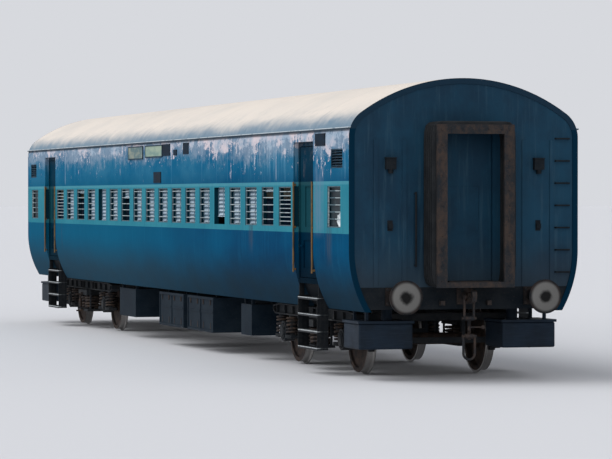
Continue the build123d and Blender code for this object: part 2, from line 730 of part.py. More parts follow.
def buffer_head(end, y):
    """A round head, turned with a domed face that is worn flat in the middle."""
    rim, flat = BUFFER_HEAD_RADIUS, BUFFER_FLAT_RADIUS
    centre = ((rim**2 - flat**2) / BUFFER_DOME + BUFFER_DOME) / 2
    half_way = (rim + flat) / 2
    middle = (math.sqrt(centre**2 + flat**2 - half_way**2) - centre, half_way)
    outline = Polyline((0, flat), (0, 0), (-40, 0), (-40, rim), (-BUFFER_DOME, rim))
    outline += ThreePointArc((-BUFFER_DOME, rim), middle, (0, flat))
    turned = revolve(make_face(outline), Axis.X, 360)
    facing = turned if end == 1 else Rot(0, 0, 180) * turned
    return Pos(end * BUFFER_FACE, y, BUFFER_HEIGHT) * facing


HOOK_EYE = 190.0
HOOK_THROAT = 330.0


def draw_hook(end, base):
    """A forged hook with an eye for the coupling's shackle and a throat for the next coach's link."""
    z = BUFFER_HEIGHT
    outline = [
        (0, -45), (150, -55), (300, -90), (400, -60), (425, 10), (410, 70), (372, 95),
        (355, 70), (372, 30), (350, -12), (315, -18), (285, 10), (270, 48), (210, 62), (0, 50),
    ]
    points = [(base + x, z + h) for x, h in outline]
    face = Plane.XZ * Polyline(points + [points[0]])
    blade = extrude(make_face(face), amount=32, both=True)
    blade -= rod_y(32, base + HOOK_EYE, -60, 60, z)
    plate = block(base, base + 20, -110, 110, z - 110, z + 110)
    hook = blade + plate
    return hook if end == 1 else mirror(hook, about=Plane.YZ)


def screw_coupling(end, base):
    """The hanging screw coupling: shackle, screw with its lever, and the long link."""
    x = base + HOOK_EYE
    z = BUFFER_HEIGHT
    piece = rod_y(24, x, -88, 88, z)
    for side in SIDES:
        piece += rod_y(40, x, side * 50, side * 82, z)
        piece += rod_z(17, x, side * 66, z - 290, z)
    for nut in (z - 290, z - 530):
        piece += rod_y(33, x, -62, 62, nut) + rod_y(22, x, -100, 100, nut)
    piece += rod_z(23, x, 0, z - 575, z - 290)
    piece += rod_y(11, x, 0, 190, z - 410) + Pos(x, 198, z - 410) * Sphere(30)
    path = Line((x, -80, z - 530), (x, -80, z - 760))
    path += ThreePointArc((x, -80, z - 760), (x, 0, z - 840), (x, 80, z - 760))
    path += Line((x, 80, z - 760), (x, 80, z - 530))
    section = Plane(origin=(x, -80, z - 530), z_dir=(0, 0, -1)) * Circle(17)
    piece += sweep(section, path)
    return piece if end == 1 else mirror(piece, about=Plane.YZ)


# Bogies

def make_bogie(name, cx):
    keep(name + "_bogie_frame", bogie_frame(cx))
    keep(name + "_bogie_bolster", bolster(cx))
    for side in SIDES:
        keep(name + "_bogie_bolster", spring_plank(cx, side))
        for x in (-BOLSTER_SPRING_OFFSET, BOLSTER_SPRING_OFFSET):
            spring = coil_spring(
                BOLSTER_SPRING_RADIUS, BOLSTER_SPRING_WIRE, 4.5,
                cx + x, side * JOURNAL_CENTRE, PLANK_TOP, RAIL + 590,
            )
            keep(name + "_bogie_springs", spring)
        keep(name + "_bogie_springs", damper(cx, side))
        for end in ENDS:
            axle = cx + end * WHEELBASE / 2
            keep(name + "_axle_boxes", axle_box(axle, side))
            for x in (-PRIMARY_SPRING_OFFSET, PRIMARY_SPRING_OFFSET):
                spring = coil_spring(
                    PRIMARY_SPRING_RADIUS, PRIMARY_SPRING_WIRE, 5.5, axle + x, side * JOURNAL_CENTRE,
                    SPRING_SEAT + SEAT_DEPTH, SIDE_FRAME_BOTTOM,
                )
                keep(name + "_bogie_springs", spring)
    for end in ENDS:
        keep(name + "_brake_gear", *brake_gear(cx + end * WHEELBASE / 2, end))


def coil_spring(radius, wire, turns, x, y, z0, z1):
    """An open coil that stands between two seats, its round wire drawn with eight sides."""
    height = z1 - z0 - 2 * wire - 1
    line = Helix(height / turns, height, radius - wire, center=(0, 0, z0 + wire + 0.5))
    start = Plane(origin=line @ 0, x_dir=(0, 0, 1), z_dir=line % 0)
    return Pos(x, y, 0) * sweep(start * RegularPolygon(wire, 8), line, is_frenet=True)


def damper(cx, side):
    """The upright hydraulic damper beside the bolster springs, with an eye at each end."""
    y = side * 1282
    low, high = RAIL + 330, RAIL + 640
    piece = rod_z(34, cx, y, low + 25, low + 190) + rod_z(22, cx, y, low + 190, high - 25)
    for z, reach in ((low, 1236), (high, 1241)):
        piece += rod_y(30, cx, y - side * 25, y + side * 25, z)
        piece += rod_y(14, cx, side * reach, y + side * 35, z)
    return piece


def side_frame(cx, side):
    """A welded side beam: flanged on its outer face, ribbed, with tubes that guide the boxes."""
    low, high = SIDE_FRAME_BOTTOM, SIDE_FRAME_TOP
    long, half = BOGIE_HALF_LENGTH, SIDE_FRAME_WIDTH / 2
    corners = [
        (-long, low + 50), (-long + 130, low), (long - 130, low), (long, low + 50),
        (long, high - 35), (long - 330, high), (-long + 330, high), (-long, high - 35),
    ]
    side_face = make_face(Plane.XZ * Polyline(corners, close=True))
    side_face = Pos(cx, side * JOURNAL_CENTRE, 0) * side_face
    beam = extrude(side_face, amount=half, both=True)
    hollow = extrude(offset(side_face, amount=-20, kind=Kind.INTERSECTION), amount=22, both=True)
    beam -= Pos(0, side * (half - 22), 0) * hollow
    y0, y1 = side * (JOURNAL_CENTRE + half - 45), side * (JOURNAL_CENTRE + half - 6)
    for x in FRAME_RIBS:
        beam += block(cx + x - 7, cx + x + 7, y0, y1, low + 10, high - 10)
    for end in ENDS:
        for offset_x in (-PRIMARY_SPRING_OFFSET, PRIMARY_SPRING_OFFSET):
            x = cx + end * WHEELBASE / 2 + offset_x
            tube = rod_z(66, x, side * JOURNAL_CENTRE, low - 130, low + 10)
            beam += tube - rod_z(58, x, side * JOURNAL_CENTRE, low - 131, low)
    return beam


FRAME_RIBS = (-1860.0, -1448.0, -1036.0, -620.0, -400.0, 0.0, 400.0, 620.0, 1036.0, 1448.0, 1860.0)


def bogie_frame(cx):
    low, high = SIDE_FRAME_BOTTOM, SIDE_FRAME_TOP
    frame = side_frame(cx, -1) + side_frame(cx, 1)
    inner = JOURNAL_CENTRE - SIDE_FRAME_WIDTH / 2
    for end in ENDS:
        x0, x1 = (cx + end * t for t in TRANSOM_X)
        frame += block(x0, x1, -inner, inner, low, high - 20)
        tip = cx + end * BOGIE_HALF_LENGTH
        frame += block(tip, tip - end * 90, -inner, inner, low + 30, high - 30)
        for y in (-430, 430):
            frame += block(x1, tip - end * 90, y - 30, y + 30, low + 60, high - 30)
    return frame


def bolster(cx):
    """The swing bolster: a deep middle between the transoms and low ends on the springs."""
    beam = block(cx - 170, cx + 170, -930, 930, RAIL + 640, BOLSTER_TOP - 40)
    for side in SIDES:
        beam += block(cx - 350, cx + 350, side * 925, side * 1240, RAIL + 590, RAIL + 690)
        beam += rod_z(130, cx, side * SIDE_BEARER_Y, BOLSTER_TOP - 40, BOLSTER_TOP)
    return beam - rod_z(85, cx, 0, BOLSTER_TOP - 200, BOLSTER_TOP)


def spring_plank(cx, side):
    """The lower spring beam of one side with the links that hang it from the frame."""
    plank = block(cx - 400, cx + 400, side * 925, side * 1235, RAIL + 290, PLANK_TOP)
    for end in ENDS:
        x0, x1 = sorted((cx + end * 365, cx + end * 400))
        for y0, y1 in ((1160, 1185), (965, 990)):
            plank += block(x0, x1, side * y0, side * y1, PLANK_TOP, SIDE_FRAME_BOTTOM)
    return plank


def axle_box(axle, side):
    """A bearing housing with wings on which the two springs stand."""
    y0, y1 = side * 1005, side * 1165
    low, high = SPRING_SEAT - 45, SPRING_SEAT
    shoulder = [(-150, AXLE_HEIGHT), (-142, high), (-385, high), (-372, low + 10), (-300, low)]
    outline = [(axle + x, z) for x, z in shoulder] + [(axle - x, z) for x, z in shoulder[::-1]]
    web = Pos(0, side * JOURNAL_CENTRE, 0) * make_face(Plane.XZ * Polyline(outline, close=True))
    box = rod_y(150, axle, y0, y1, AXLE_HEIGHT) + extrude(web, amount=74, both=True)
    box += rod_y(118, axle, y1, side * 1180, AXLE_HEIGHT)
    box += rod_y(82, axle, side * 1180, side * 1190, AXLE_HEIGHT)
    for x in (-PRIMARY_SPRING_OFFSET, PRIMARY_SPRING_OFFSET):
        y = side * JOURNAL_CENTRE
        box += rod_z(118, axle + x, y, low + 8, high + SEAT_DEPTH)
        box += rod_z(52, axle + x, y, high, high + 210)
    return box - rod_y(JOURNAL_RADIUS + 6, axle, side * 1000, side * (JOURNAL_END + 6), AXLE_HEIGHT)


def wheel_section(side):
    """Half-section of a wheel as (radius, distance from the coach's centre line)."""
    points = [
        (AXLE_RADIUS, 785), (130, 785), (138, 835), (385, 868), (392, WHEEL_BACK),
        (FLANGE_RADIUS - 6, WHEEL_BACK), (FLANGE_RADIUS, 808), (FLANGE_RADIUS - 2, 820),
        (WHEEL_RADIUS + 6, 830), (WHEEL_RADIUS, 840), (WHEEL_RADIUS - 3, WHEEL_BACK + RIM_WIDTH),
        (392, WHEEL_BACK + RIM_WIDTH), (385, 896), (138, 880), (130, 955), (AXLE_RADIUS, 955),
    ]
    return [(r, side * y) for r, y in points]


def make_wheelset(name, axle):
    for side in SIDES:
        points = [(axle + r, y, AXLE_HEIGHT) for r, y in wheel_section(side)]
        face = make_face(Polyline(points + [points[0]]))
        axis = Axis((axle, 0, AXLE_HEIGHT), (0, 1, 0))
        keep(name + "_wheels", revolve(face, axis, 360))
    shaft = rod_y(AXLE_RADIUS, axle, -955, 955, AXLE_HEIGHT)
    shaft += rod_y(JOURNAL_RADIUS, axle, -JOURNAL_END, JOURNAL_END, AXLE_HEIGHT)
    keep(name + "_axle", shaft)


SHOE_GAP = 6.0


def brake_gear(axle, outwards):
    """Clasp brakes on one axle: four shoes, their hangers and two beams."""
    pieces = []
    for end in ENDS:
        beam_x = axle + end * (WHEEL_RADIUS + 105)
        gear = block(beam_x - 30, beam_x + 30, -900, 900, AXLE_HEIGHT - 40, AXLE_HEIGHT + 40)
        for side in SIDES:
            y0, y1 = side * 842, side * 920
            ring = rod_y(WHEEL_RADIUS + 62, axle, y0, y1, AXLE_HEIGHT)
            ring -= rod_y(WHEEL_RADIUS + SHOE_GAP, axle, side * 800, side * 960, AXLE_HEIGHT)
            reach = axle + end * 600
            shoe = ring & block(axle, reach, side * 800, side * 960, AXLE_HEIGHT - 150, AXLE_HEIGHT + 150)
            gear += shoe
            gear += block(
                axle + end * (WHEEL_RADIUS + 55), beam_x, side * 860, side * 900,
                AXLE_HEIGHT - 40, AXLE_HEIGHT + 40,
            )
        top = SIDE_FRAME_BOTTOM + (30 if end == outwards else 60)
        for y in (-430, 430):
            gear += block(beam_x - 12, beam_x + 12, y - 25, y + 25, AXLE_HEIGHT + 40, top)
        pieces.append(gear)
    return pieces


make_roof()
make_sides()
make_lavatory_corners()
make_windows()
make_boards()
make_ends()
make_underframe()
make_doorways()
make_end_doors()
make_saloon()
make_lavatories()
make_underslung()
make_couplings()
for end, name in ((1, "front"), (-1, "rear")):
    make_bogie(name, end * BOGIE_CENTRES / 2)
    for place, step in (("outer", 1), ("inner", -1)):
        axle_x = end * (BOGIE_CENTRES / 2 + step * WHEELBASE / 2)
        make_wheelset(name + "_" + place, axle_x)

os.makedirs("parts", exist_ok=True)
for name, solids in parts.items():
    export_step(Compound(children=solids), f"parts/{name}.step")
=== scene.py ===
import math

import bpy
from mathutils import Matrix


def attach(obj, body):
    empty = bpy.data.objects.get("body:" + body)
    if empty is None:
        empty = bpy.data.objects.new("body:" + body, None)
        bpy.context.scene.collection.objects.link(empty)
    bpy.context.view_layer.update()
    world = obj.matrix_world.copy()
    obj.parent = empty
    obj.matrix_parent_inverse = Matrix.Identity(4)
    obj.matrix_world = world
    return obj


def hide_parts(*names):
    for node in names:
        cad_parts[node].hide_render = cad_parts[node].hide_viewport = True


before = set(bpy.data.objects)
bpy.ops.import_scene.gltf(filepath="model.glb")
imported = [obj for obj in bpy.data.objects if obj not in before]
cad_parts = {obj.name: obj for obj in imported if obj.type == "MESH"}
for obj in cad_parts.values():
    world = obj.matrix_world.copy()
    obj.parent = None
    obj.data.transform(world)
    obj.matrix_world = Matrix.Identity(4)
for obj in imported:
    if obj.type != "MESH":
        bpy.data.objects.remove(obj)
bpy.ops.object.select_all(action="DESELECT")
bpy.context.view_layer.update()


# View. The camera stands 52 m off the near end, at a man's height above the rails, and looks
# along the side through a long lens, as in the photograph, so that the whole coach fills it.
bpy.ops.object.camera_add(
    location=(49.5525, -13.8157, 2.4453),
    rotation=(math.pi / 2 - 0.010185, 0, 2.85175 - math.pi / 2),
)
camera = bpy.context.object
camera.data.lens = 181
camera.data.clip_start = 1
camera.data.clip_end = 3000
scene = bpy.context.scene
scene.camera = camera
scene.view_settings.view_transform = "Standard"


# Studio. A pale level floor runs out to the horizon, under a large soft light from above, a
# weaker one on the near side, and a low one on the end, which is in shade in the photograph. The
# air behind is seen in the floor's own shade, so no edge shows where they meet.
class Wire:
    """What one shader node hands to another, so that sums can be written as sums."""

    def __init__(self, tree, socket):
        self.tree = tree
        self.socket = socket

    def node(self, kind, settings, inputs, output=0):
        """A new node of this kind: its settings, then what its sockets hold or take."""
        made = self.tree.nodes.new("ShaderNode" + kind)
        for name, value in settings.items():
            setattr(made, name, value)
        for name, value in inputs.items():
            self.fill(made.inputs[name], value)
        return Wire(self.tree, made.outputs[output])

    def fill(self, socket, value):
        """Links a wire to a socket, or sets the socket's own number, colour or vector."""
        if isinstance(value, Wire):
            self.tree.links.new(value.socket, socket)
        elif socket.type == "RGBA":
            socket.default_value = (*value, 1)
        else:
            socket.default_value = value

    def maths(self, operation, first, second):
        return self.node("Math", {"operation": operation}, {0: first, 1: second})

    def own(self, operation, second=0.0):
        """A sum on this alone, such as its FRACT or SINE, or on this and a second, such as MAXIMUM."""
        return self.maths(operation, self, second)

    def size(self):
        """This without its sign."""
        return self.own("ABSOLUTE")

    def __add__(self, other):
        return self.own("ADD", other)

    __radd__ = __add__

    def __sub__(self, other):
        return self.own("SUBTRACT", other)

    def __rsub__(self, other):
        return self.maths("SUBTRACT", other, self)

    def __mul__(self, other):
        return self.own("MULTIPLY", other)

    __rmul__ = __mul__

    def __truediv__(self, other):
        return self.own("DIVIDE", other)

    def rise(self, low, high):
        """Goes softly from 0 at low to 1 at high."""
        return self.node(
            "MapRange", {"interpolation_type": "SMOOTHSTEP"},
            {"Value": self, "From Min": low, "From Max": high},
        )

    def within(self, low, high, soft):
        """1 between low and high, fading over the soft width at both ends."""
        return self.rise(low - soft, low + soft) * (1 - self.rise(high - soft, high + soft))

    def axis(self, letter):
        """X, Y or Z of a place."""
        return self.node("SeparateXYZ", {}, {0: self}, "XYZ".index(letter))

    def noise(self, stretch, detail=4.0, roughness=0.6):
        """Cloudy noise from 0 to 1 with this many features a metre along X, Y and Z."""
        spread = self.node("VectorMath", {"operation": "MULTIPLY"}, {0: self, 1: stretch})
        return self.node(
            "TexNoise", {}, {"Vector": spread, "Scale": 1.0, "Detail": detail, "Roughness": roughness}
        )

    def tint(self, under, over):
        """The under colour where this is 0 and the over colour where it is 1."""
        return self.node("Mix", {"data_type": "RGBA"}, {0: self, 6: under, 7: over}, 2)


def colour(red, green, blue):
    """A paint colour given in screen values from 0 to 255."""
    return tuple(((v / 255 + 0.055) / 1.055) ** 2.4 if v > 10 else v / 3295 for v in (red, green, blue))


def finish(name):
    """A new material, and the place on the coach that its patterns read."""
    made = bpy.data.materials.new(name)
    made.use_nodes = True
    tree = made.node_tree
    here = Wire(tree, tree.nodes.new("ShaderNodeTexCoord").outputs["Object"])
    return made, here


def lay(made, here, base, rough=0.5, height=None, depth=0.002, metal=0.0, specular=0.2):
    """Wires a colour, a roughness and a bump height in metres into a material's shader."""
    shader = made.node_tree.nodes["Principled BSDF"]
    here.fill(shader.inputs["Base Color"], base)
    here.fill(shader.inputs["Roughness"], rough)
    here.fill(shader.inputs["Metallic"], metal)
    shader.inputs["Specular IOR Level"].default_value = specular
    if height is not None:
        bump = here.node("Bump", {}, {"Height": height, "Distance": depth, "Strength": 1.0})
        here.fill(shader.inputs["Normal"], bump)


bpy.ops.mesh.primitive_circle_add(vertices=64, radius=900, fill_type="NGON", location=(0, 0, 0))
floor = bpy.context.object
floor.name = "studio_floor"
floor_finish, here = finish("studio_floor")
lay(floor_finish, here, (0.565, 0.57, 0.59), 0.9)
floor.data.materials.append(floor_finish)


def soft_sun(tilt, turn, strength, spread):
    """A sun tilted from straight down, turned about Z and spread, all in degrees."""
    bpy.ops.object.light_add(type="SUN", rotation=(math.radians(tilt), 0, math.radians(turn)))
    bpy.context.object.data.energy = strength
    bpy.context.object.data.angle = math.radians(spread)


soft_sun(34, -28, 1.5, 40)
soft_sun(64, -8, 0.8, 60)
soft_sun(80, 72, 1.0, 60)

world = bpy.data.worlds.new("studio_air")
scene.world = world
world.use_nodes = True
air = world.node_tree.nodes["Background"]
rays = world.node_tree.nodes.new("ShaderNodeLightPath")
camera_ray, glossy_ray, passing_ray = (
    Wire(world.node_tree, rays.outputs[f"Is {kind} Ray"])
    for kind in ("Camera", "Glossy", "Transmission")
)
seen = camera_ray + glossy_ray + passing_ray
SKYLIGHT = (0.614, 0.627, 0.66)
seen.fill(air.inputs["Color"], seen.tint(SKYLIGHT, colour(215, 217, 222)))


# Roof. One skin of welded steel sheets painted cream, chalky with age, and streaked with grey
# dirt that rain washes down to the gutters.
def coat(finish_made, *nodes):
    """Paints CAD nodes with a material."""
    for node in nodes:
        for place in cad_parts[node].material_slots:
            place.material = finish_made


RAIL = 0.0285  # the top of the rails, on which the treads stand
BODY_END = 10.65

roof_paint, here = finish("roof_cream_paint")
height = here.axis("Z") - RAIL
cloud = here.noise((0.5, 0.8, 0.8), 6.0)
streaks = here.noise((9.0, 1.6, 1.1), 5.0, 0.7)
mottle = here.noise((3.0, 5.0, 5.0), 6.0, 0.7)
dirty = here.noise((0.9, 1.6, 1.6), 5.0, 0.7)
# lower down towards the gutters the cream turns grey-blue: dirt, and a painted shade where the roof
# curves away from the light above
low = 1 - (height + (mottle - 0.5) * 0.14 + (dirty - 0.5) * 0.24).rise(3.36, 3.62)
seam = (here.axis("X") * 0.5).own("FRACT").within(0.497, 0.503, 0.003)
base = (cloud.rise(0.35, 0.75) * 0.5).tint(colour(206, 197, 187), colour(182, 179, 175))
base = (low * (0.86 + streaks * 0.28)).tint(base, colour(100, 122, 138))
drip = (streaks * 0.7 + mottle * 0.5).rise(0.56, 0.74) * (1 - height.rise(3.5, 3.8))
base = (drip * 0.28).tint(base, colour(104, 120, 134))
base = (mottle.rise(0.6, 0.75) * 0.3).tint(base, colour(150, 150, 150))
base = (seam * 0.4).tint(base, colour(120, 118, 114))
ending = here.axis("X").size().rise(BODY_END, BODY_END + 0.003)
base = ending.tint(base, colour(8, 38, 56))
lay(roof_paint, here, base, 0.7 + cloud * 0.2, cloud * 0.5 - seam, 0.004)
coat(roof_paint, "roof")

gutter_paint, here = finish("gutter_white_paint")
height = here.axis("Z") - RAIL
wear = here.noise((6.0, 4.0, 20.0), 5.0, 0.7)
base = wear.rise(0.5, 0.68).tint(colour(178, 188, 194), colour(108, 126, 140))
# the gutter's foot painted dark: a painted shadow under its lip
base = (1 - height.rise(3.352, 3.358)).tint(base, colour(20, 44, 58))
lay(gutter_paint, here, base, 0.6)
coat(gutter_paint, "rain_gutters")


# Side panels. Welded steel sheet in deep blue with a teal band at the windows: faded and peeling
# in pale streaks below the gutter, and grey with brake dust on the turned-under skirt.
WINDOW_PITCH = 0.8957
BAY = 2 * WINDOW_PITCH
BAND_FOOT, BAND_HEAD = 1.94, 2.645  # the teal band, above the rails
GUTTER = 3.34


def livery(name, shade=1.0, openings=1.0):
    """The coach's paint, or the same paint darkened by the shade factor, a painted shade for a doorway.
    """
    made, here = finish(name)
    long, side, height = here.axis("X"), here.axis("Y"), here.axis("Z") - RAIL
    cloud = here.noise((0.45, 0.8, 0.8), 5.0)
    blotch = here.noise((1.7, 2.0, 2.6), 6.0, 0.65)
    rain = here.noise((16.0, 14.0, 0.9), 6.0, 0.7)
    fine = here.noise((60.0, 60.0, 7.0), 4.0, 0.6)

    def paint(red, green, blue):
        return tuple(v * shade for v in colour(red, green, blue))

    blue = cloud.rise(0.3, 0.7).tint(paint(0, 54, 88), paint(0, 70, 104))
    # paler towards the far end: a painted haze of light over the distance
    far_haze = 1 - long.rise(-5.0, 7.0)
    blue = (far_haze * 0.65).tint(blue, paint(0, 88, 116))
    faded = (cloud * 0.6 + blotch * 0.4).rise(0.4, 0.62).tint(paint(4, 88, 124), paint(44, 106, 136))
    blue = (height.rise(2.5, 2.95) * 0.85).tint(blue, faded)
    blue = (rain.rise(0.5, 0.75) * 0.35).tint(blue, paint(24, 96, 130))
    teal = cloud.rise(0.3, 0.7).tint(paint(38, 112, 130), paint(50, 123, 138))
    teal = (rain.rise(0.48, 0.72) * 0.4).tint(teal, paint(28, 92, 114))
    band = (height + (fine - 0.5) * 0.006).within(BAND_FOOT, BAND_HEAD, 0.003)
    teal = (height.within(2.6, 2.66, 0.008) * 0.4).tint(teal, paint(88, 146, 160))
    base = band.tint(blue, teal)

    # paint peeled to a pinkish primer under the gutter, ragged at its foot, and the pale drips that
    # run down from it, heaviest beside the near doorway
    columns = here.noise((13.0, 13.0, 0.5), 5.0, 0.75)
    fall = GUTTER - height
    near = long.rise(0.5, 6.5)
    chips = here.noise((6.0, 6.0, 9.0), 5.0, 0.7)
    patches = here.noise((1.7, 1.7, 4.6), 6.0, 0.76)
    amount = columns * 0.22 + patches * 0.58 + chips * 0.3 + (fine - 0.5) * 0.12
    amount = amount + near * 0.033 + 0.024
    bare = (amount - fall * 0.34).rise(0.555, 0.573) * height.rise(2.64, 2.68)
    drips = columns * 0.8 + rain * 0.35 + near * 0.05 - fall * 0.2
    drips = drips.rise(0.55, 0.7) * height.rise(2.6, 2.7)
    stray = here.noise((5.0, 5.0, 1.6), 5.0, 0.75)
    stray = (stray + (fine - 0.5) * 0.25 + near * 0.03).rise(0.655, 0.70)
    stray = stray * height.within(2.7, 3.3, 0.03)
    flecks = here.noise((9.0, 9.0, 7.0), 5.0, 0.75)
    flecks = (flecks + near * 0.03 - fall * 0.16).rise(0.585, 0.61) * height.rise(2.72, 2.8)
    weather = 0.3 + 0.7 * openings
    base = (drips * 0.45 * weather).tint(base, paint(112, 158, 184))
    flake = bare + stray + flecks
    flake = flake.own("MINIMUM", 1.0) * weather
    chalk = blotch * 0.6 + chips * 0.4 + near * 0.04 + far_haze * 0.02 - fall * 0.7
    chalk = chalk.rise(0.24, 0.46) * height.rise(2.7, 2.9)
    base = (chalk * 0.56 * weather).tint(base, paint(142, 152, 166))
    primer = blotch.rise(0.4, 0.62).tint(paint(208, 195, 198), paint(150, 166, 182))
    base = (flake * 0.85).tint(base, primer)

    # the sides of the window openings behind the outer skin, darkened as a painted shade in the deep
    # reveals
    behind = 1 - side.size().rise(1.6185, 1.6205)
    reveal_shade = height.within(2.015, 2.585, 0.002) * behind
    base = (reveal_shade * 0.9 * openings).tint(base, paint(4, 30, 44))

    # rust run down below the near lavatory window and below two others
    run = (rain + fine * 0.5).rise(0.6, 0.85)
    spots = long.within(9.62, 9.86, 0.08) * height.within(1.55, 2.05, 0.2)
    spots = spots + long.within(5.72, 5.96, 0.08) * height.within(1.68, 2.2, 0.14)
    spots = spots + long.within(-7.52, -7.44, 0.04) * height.within(1.5, 1.95, 0.1)
    facing = 1 - side.rise(-0.01, 0.01)
    base = (spots * facing * run * 0.55).tint(base, paint(60, 66, 78))

    # paint worn to a pale lilac beside the near doorway
    stripes = here.noise((26.0, 10.0, 0.6), 3.0)
    worn = long.within(9.06, 9.5, 0.03) * height.within(1.94, 2.9, 0.1) * facing
    worn = worn * (stripes * 0.6 + blotch * 0.6).rise(0.46, 0.66)
    base = (worn * 0.55).tint(base, paint(96, 116, 140))

    # a pale trickle down the weld beside the last window at each end
    trickle = long.size().within(7.150, 7.182, 0.008) * facing
    trickle = trickle * height.within(2.68, 3.33, 0.03)
    trickle = trickle * (rain * 0.6 + blotch * 0.6).rise(0.36, 0.6)
    base = (trickle * 0.75).tint(base, paint(158, 172, 188))

    # brake dust on the skirt
    dust = (1 - (height + (cloud - 0.5) * 0.35).rise(1.05, 1.80)) * (0.7 + blotch * 0.4)
    # the dust is paler towards the far end as well, by the painted haze
    grey = far_haze.tint(paint(33, 46, 54), paint(44, 64, 77))
    base = (dust * 0.92).tint(base, grey)
    base = (fine.rise(0.62, 0.75) * 0.25).tint(base, paint(16, 44, 62))

    # a weld at every other pillar, the shade of the gutter, and the dark returns at the ends
    joint = (long / BAY + 20.5).own("FRACT").within(0.4988, 0.5012, 0.0008)
    base = (joint * 0.3).tint(base, paint(4, 36, 54))
    gutter_shade = height.within(3.312, 3.345, 0.01)
    base = (gutter_shade * 0.6).tint(base, paint(8, 40, 56))
    ending = long.size().rise(BODY_END, BODY_END + 0.003)
    base = ending.tint(base, paint(8, 38, 56))
    relief = cloud * 0.6 - flake * 0.12 + fine * 0.02 - joint * 0.2
    lay(made, here, base, 0.5 + dust * 0.3 + flake * 0.3, relief, 0.006, specular=0.004)
    return made


coach_paint = livery("coach_paint")
coat(
    coach_paint,
    "lower_side_panels", "upper_side_panels", "cantrails", "end_side_panels", "window_pillars",
)

louvre_paint, here = finish("louvre_paint")
grime = here.noise((6.0, 6.0, 12.0), 5.0, 0.65)
lay(louvre_paint, here, grime.rise(0.35, 0.7).tint(colour(8, 34, 50), colour(24, 60, 80)), 0.7)
coat(louvre_paint, "lavatory_louvres")


# Plates. Thin enamelled steel plates screwed to the side, all bare: two faded pale boards in the
# middle of the coach and dark ones beside them.
plate_enamel, here = finish("plate_enamel")
long = here.axis("X") * here.axis("Y").own("SIGN") * -1
fade = here.noise((3.0, 3.0, 9.0), 5.0, 0.65)
faded = long.within(-2.1, -0.85, 0.01)
pale = long.within(-0.8, 0.43, 0.01) * (here.axis("Z") - RAIL).rise(2.9, 3.0)
base = fade.rise(0.35, 0.7).tint(colour(6, 20, 34), colour(16, 38, 54))
base = faded.tint(base, fade.rise(0.35, 0.65).tint(colour(84, 108, 112), colour(134, 140, 128)))
base = pale.tint(base, fade.rise(0.3, 0.7).tint(colour(146, 162, 144), colour(108, 134, 130)))
lay(plate_enamel, here, base, 0.45 + fade * 0.3, specular=0.05)
coat(plate_enamel, "sign_boards")


# Window guards. In each opening a flat steel rim holds five level round bars, painted grey. The
# windows beside the doors have eight, closer, and the emergency windows none.
def pick(piece, test):
    """Goes into edit mode with only the faces selected whose middle and normal pass the test."""
    bpy.ops.object.mode_set(mode="OBJECT")
    bpy.context.tool_settings.mesh_select_mode = (False, False, True)
    for part in (piece.data.vertices, piece.data.edges, piece.data.polygons):
        part.foreach_set("select", [False] * len(part))
    for face in piece.data.polygons:
        face.select = test(face.center, face.normal)
    bpy.ops.object.mode_set(mode="EDIT")


def join(pieces, name):
    """Joins pieces into the first, with its place in its mesh."""
    bpy.ops.object.select_all(action="DESELECT")
    for piece in pieces:
        piece.select_set(True)
    bpy.context.view_layer.objects.active = pieces[0]
    if len(pieces) > 1:
        bpy.ops.object.join()
    bpy.ops.object.transform_apply(location=True, rotation=True, scale=True)
    bpy.ops.object.select_all(action="DESELECT")
    pieces[0].name = name
    pieces[0].data.name = name
    return pieces[0]


def set_out(model, moves, name):
    """Copies a finished piece by each move, every copy with its own mesh, and joins them."""
    made = []
    for move in moves:
        copy = model.copy()
        copy.data = model.data.copy()
        copy.data.transform(move)
        if move.is_negative:
            copy.data.flip_normals()
        bpy.context.collection.objects.link(copy)
        made.append(copy)
    bpy.data.objects.remove(model)
    return join(made, name)


def turned(x, side=-1, end=1):
    """The move that takes a piece made at x = 0 on the -Y side to x, on either side or end."""
    return Matrix.Translation((x, 0, 0)) @ Matrix.Diagonal((end, -side, 1, 1))


def plate_rim(middle, size, edge, name):
    """A rim with an edge this wide, cut from a plate that faces a side."""
    bpy.ops.mesh.primitive_cube_add(size=1, location=middle, scale=size)
    rim = join([bpy.context.object], name)
    pick(rim, lambda middle, normal: abs(normal.y) > 0.9)
    bpy.ops.mesh.inset(thickness=edge)
    bpy.ops.mesh.bridge_edge_loops()
    bpy.ops.object.mode_set(mode="OBJECT")
    return rim


def hold(piece, *nodes, slot):
    """Rides a piece on the body, in place of these CAD nodes."""
    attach(piece, "coach_body")
    for node in nodes:
        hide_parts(node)


WINDOW_COUNT = 18
WINDOWS = [(k - (WINDOW_COUNT - 1) / 2) * WINDOW_PITCH for k in range(WINDOW_COUNT)]
BESIDE_DOORS = (1, 18)
EMERGENCY = (5, 14)
SILL, HEAD = RAIL + 2.02, RAIL + 2.58
GUARD_Y = -1.6055
BAR_RADIUS = 0.0068
LAVATORY_X = 9.9775


def windows(wanted):
    """The moves to the windows whose number is wanted, as each side is seen from outside."""
    moves = []
    for number, x in enumerate(WINDOWS, start=1):
        for side in (-1, 1):
            if wanted(number if side == -1 else WINDOW_COUNT + 1 - number):
                moves.append(turned(x, side))
    return moves


def window_guard(width, bars, pitch, lift):
    """One guard at x = 0 on the -Y side: a rim cut from a plate, and its bars."""
    middle = (SILL + HEAD) / 2
    pieces = [plate_rim((0, GUARD_Y, middle), (width, 0.018, HEAD - SILL), 0.015, "rim")]
    for k in range(bars):
        z = middle + lift + (k - (bars - 1) / 2) * pitch
        bpy.ops.mesh.primitive_cylinder_add(
            vertices=10, radius=BAR_RADIUS, depth=width - 0.02, location=(0, GUARD_Y, z),
            rotation=(0, math.pi / 2, 0),
        )
        bpy.ops.object.shade_smooth_by_angle(angle=math.radians(50))
        pieces.append(bpy.context.object)
    return join(pieces, "window_guard")


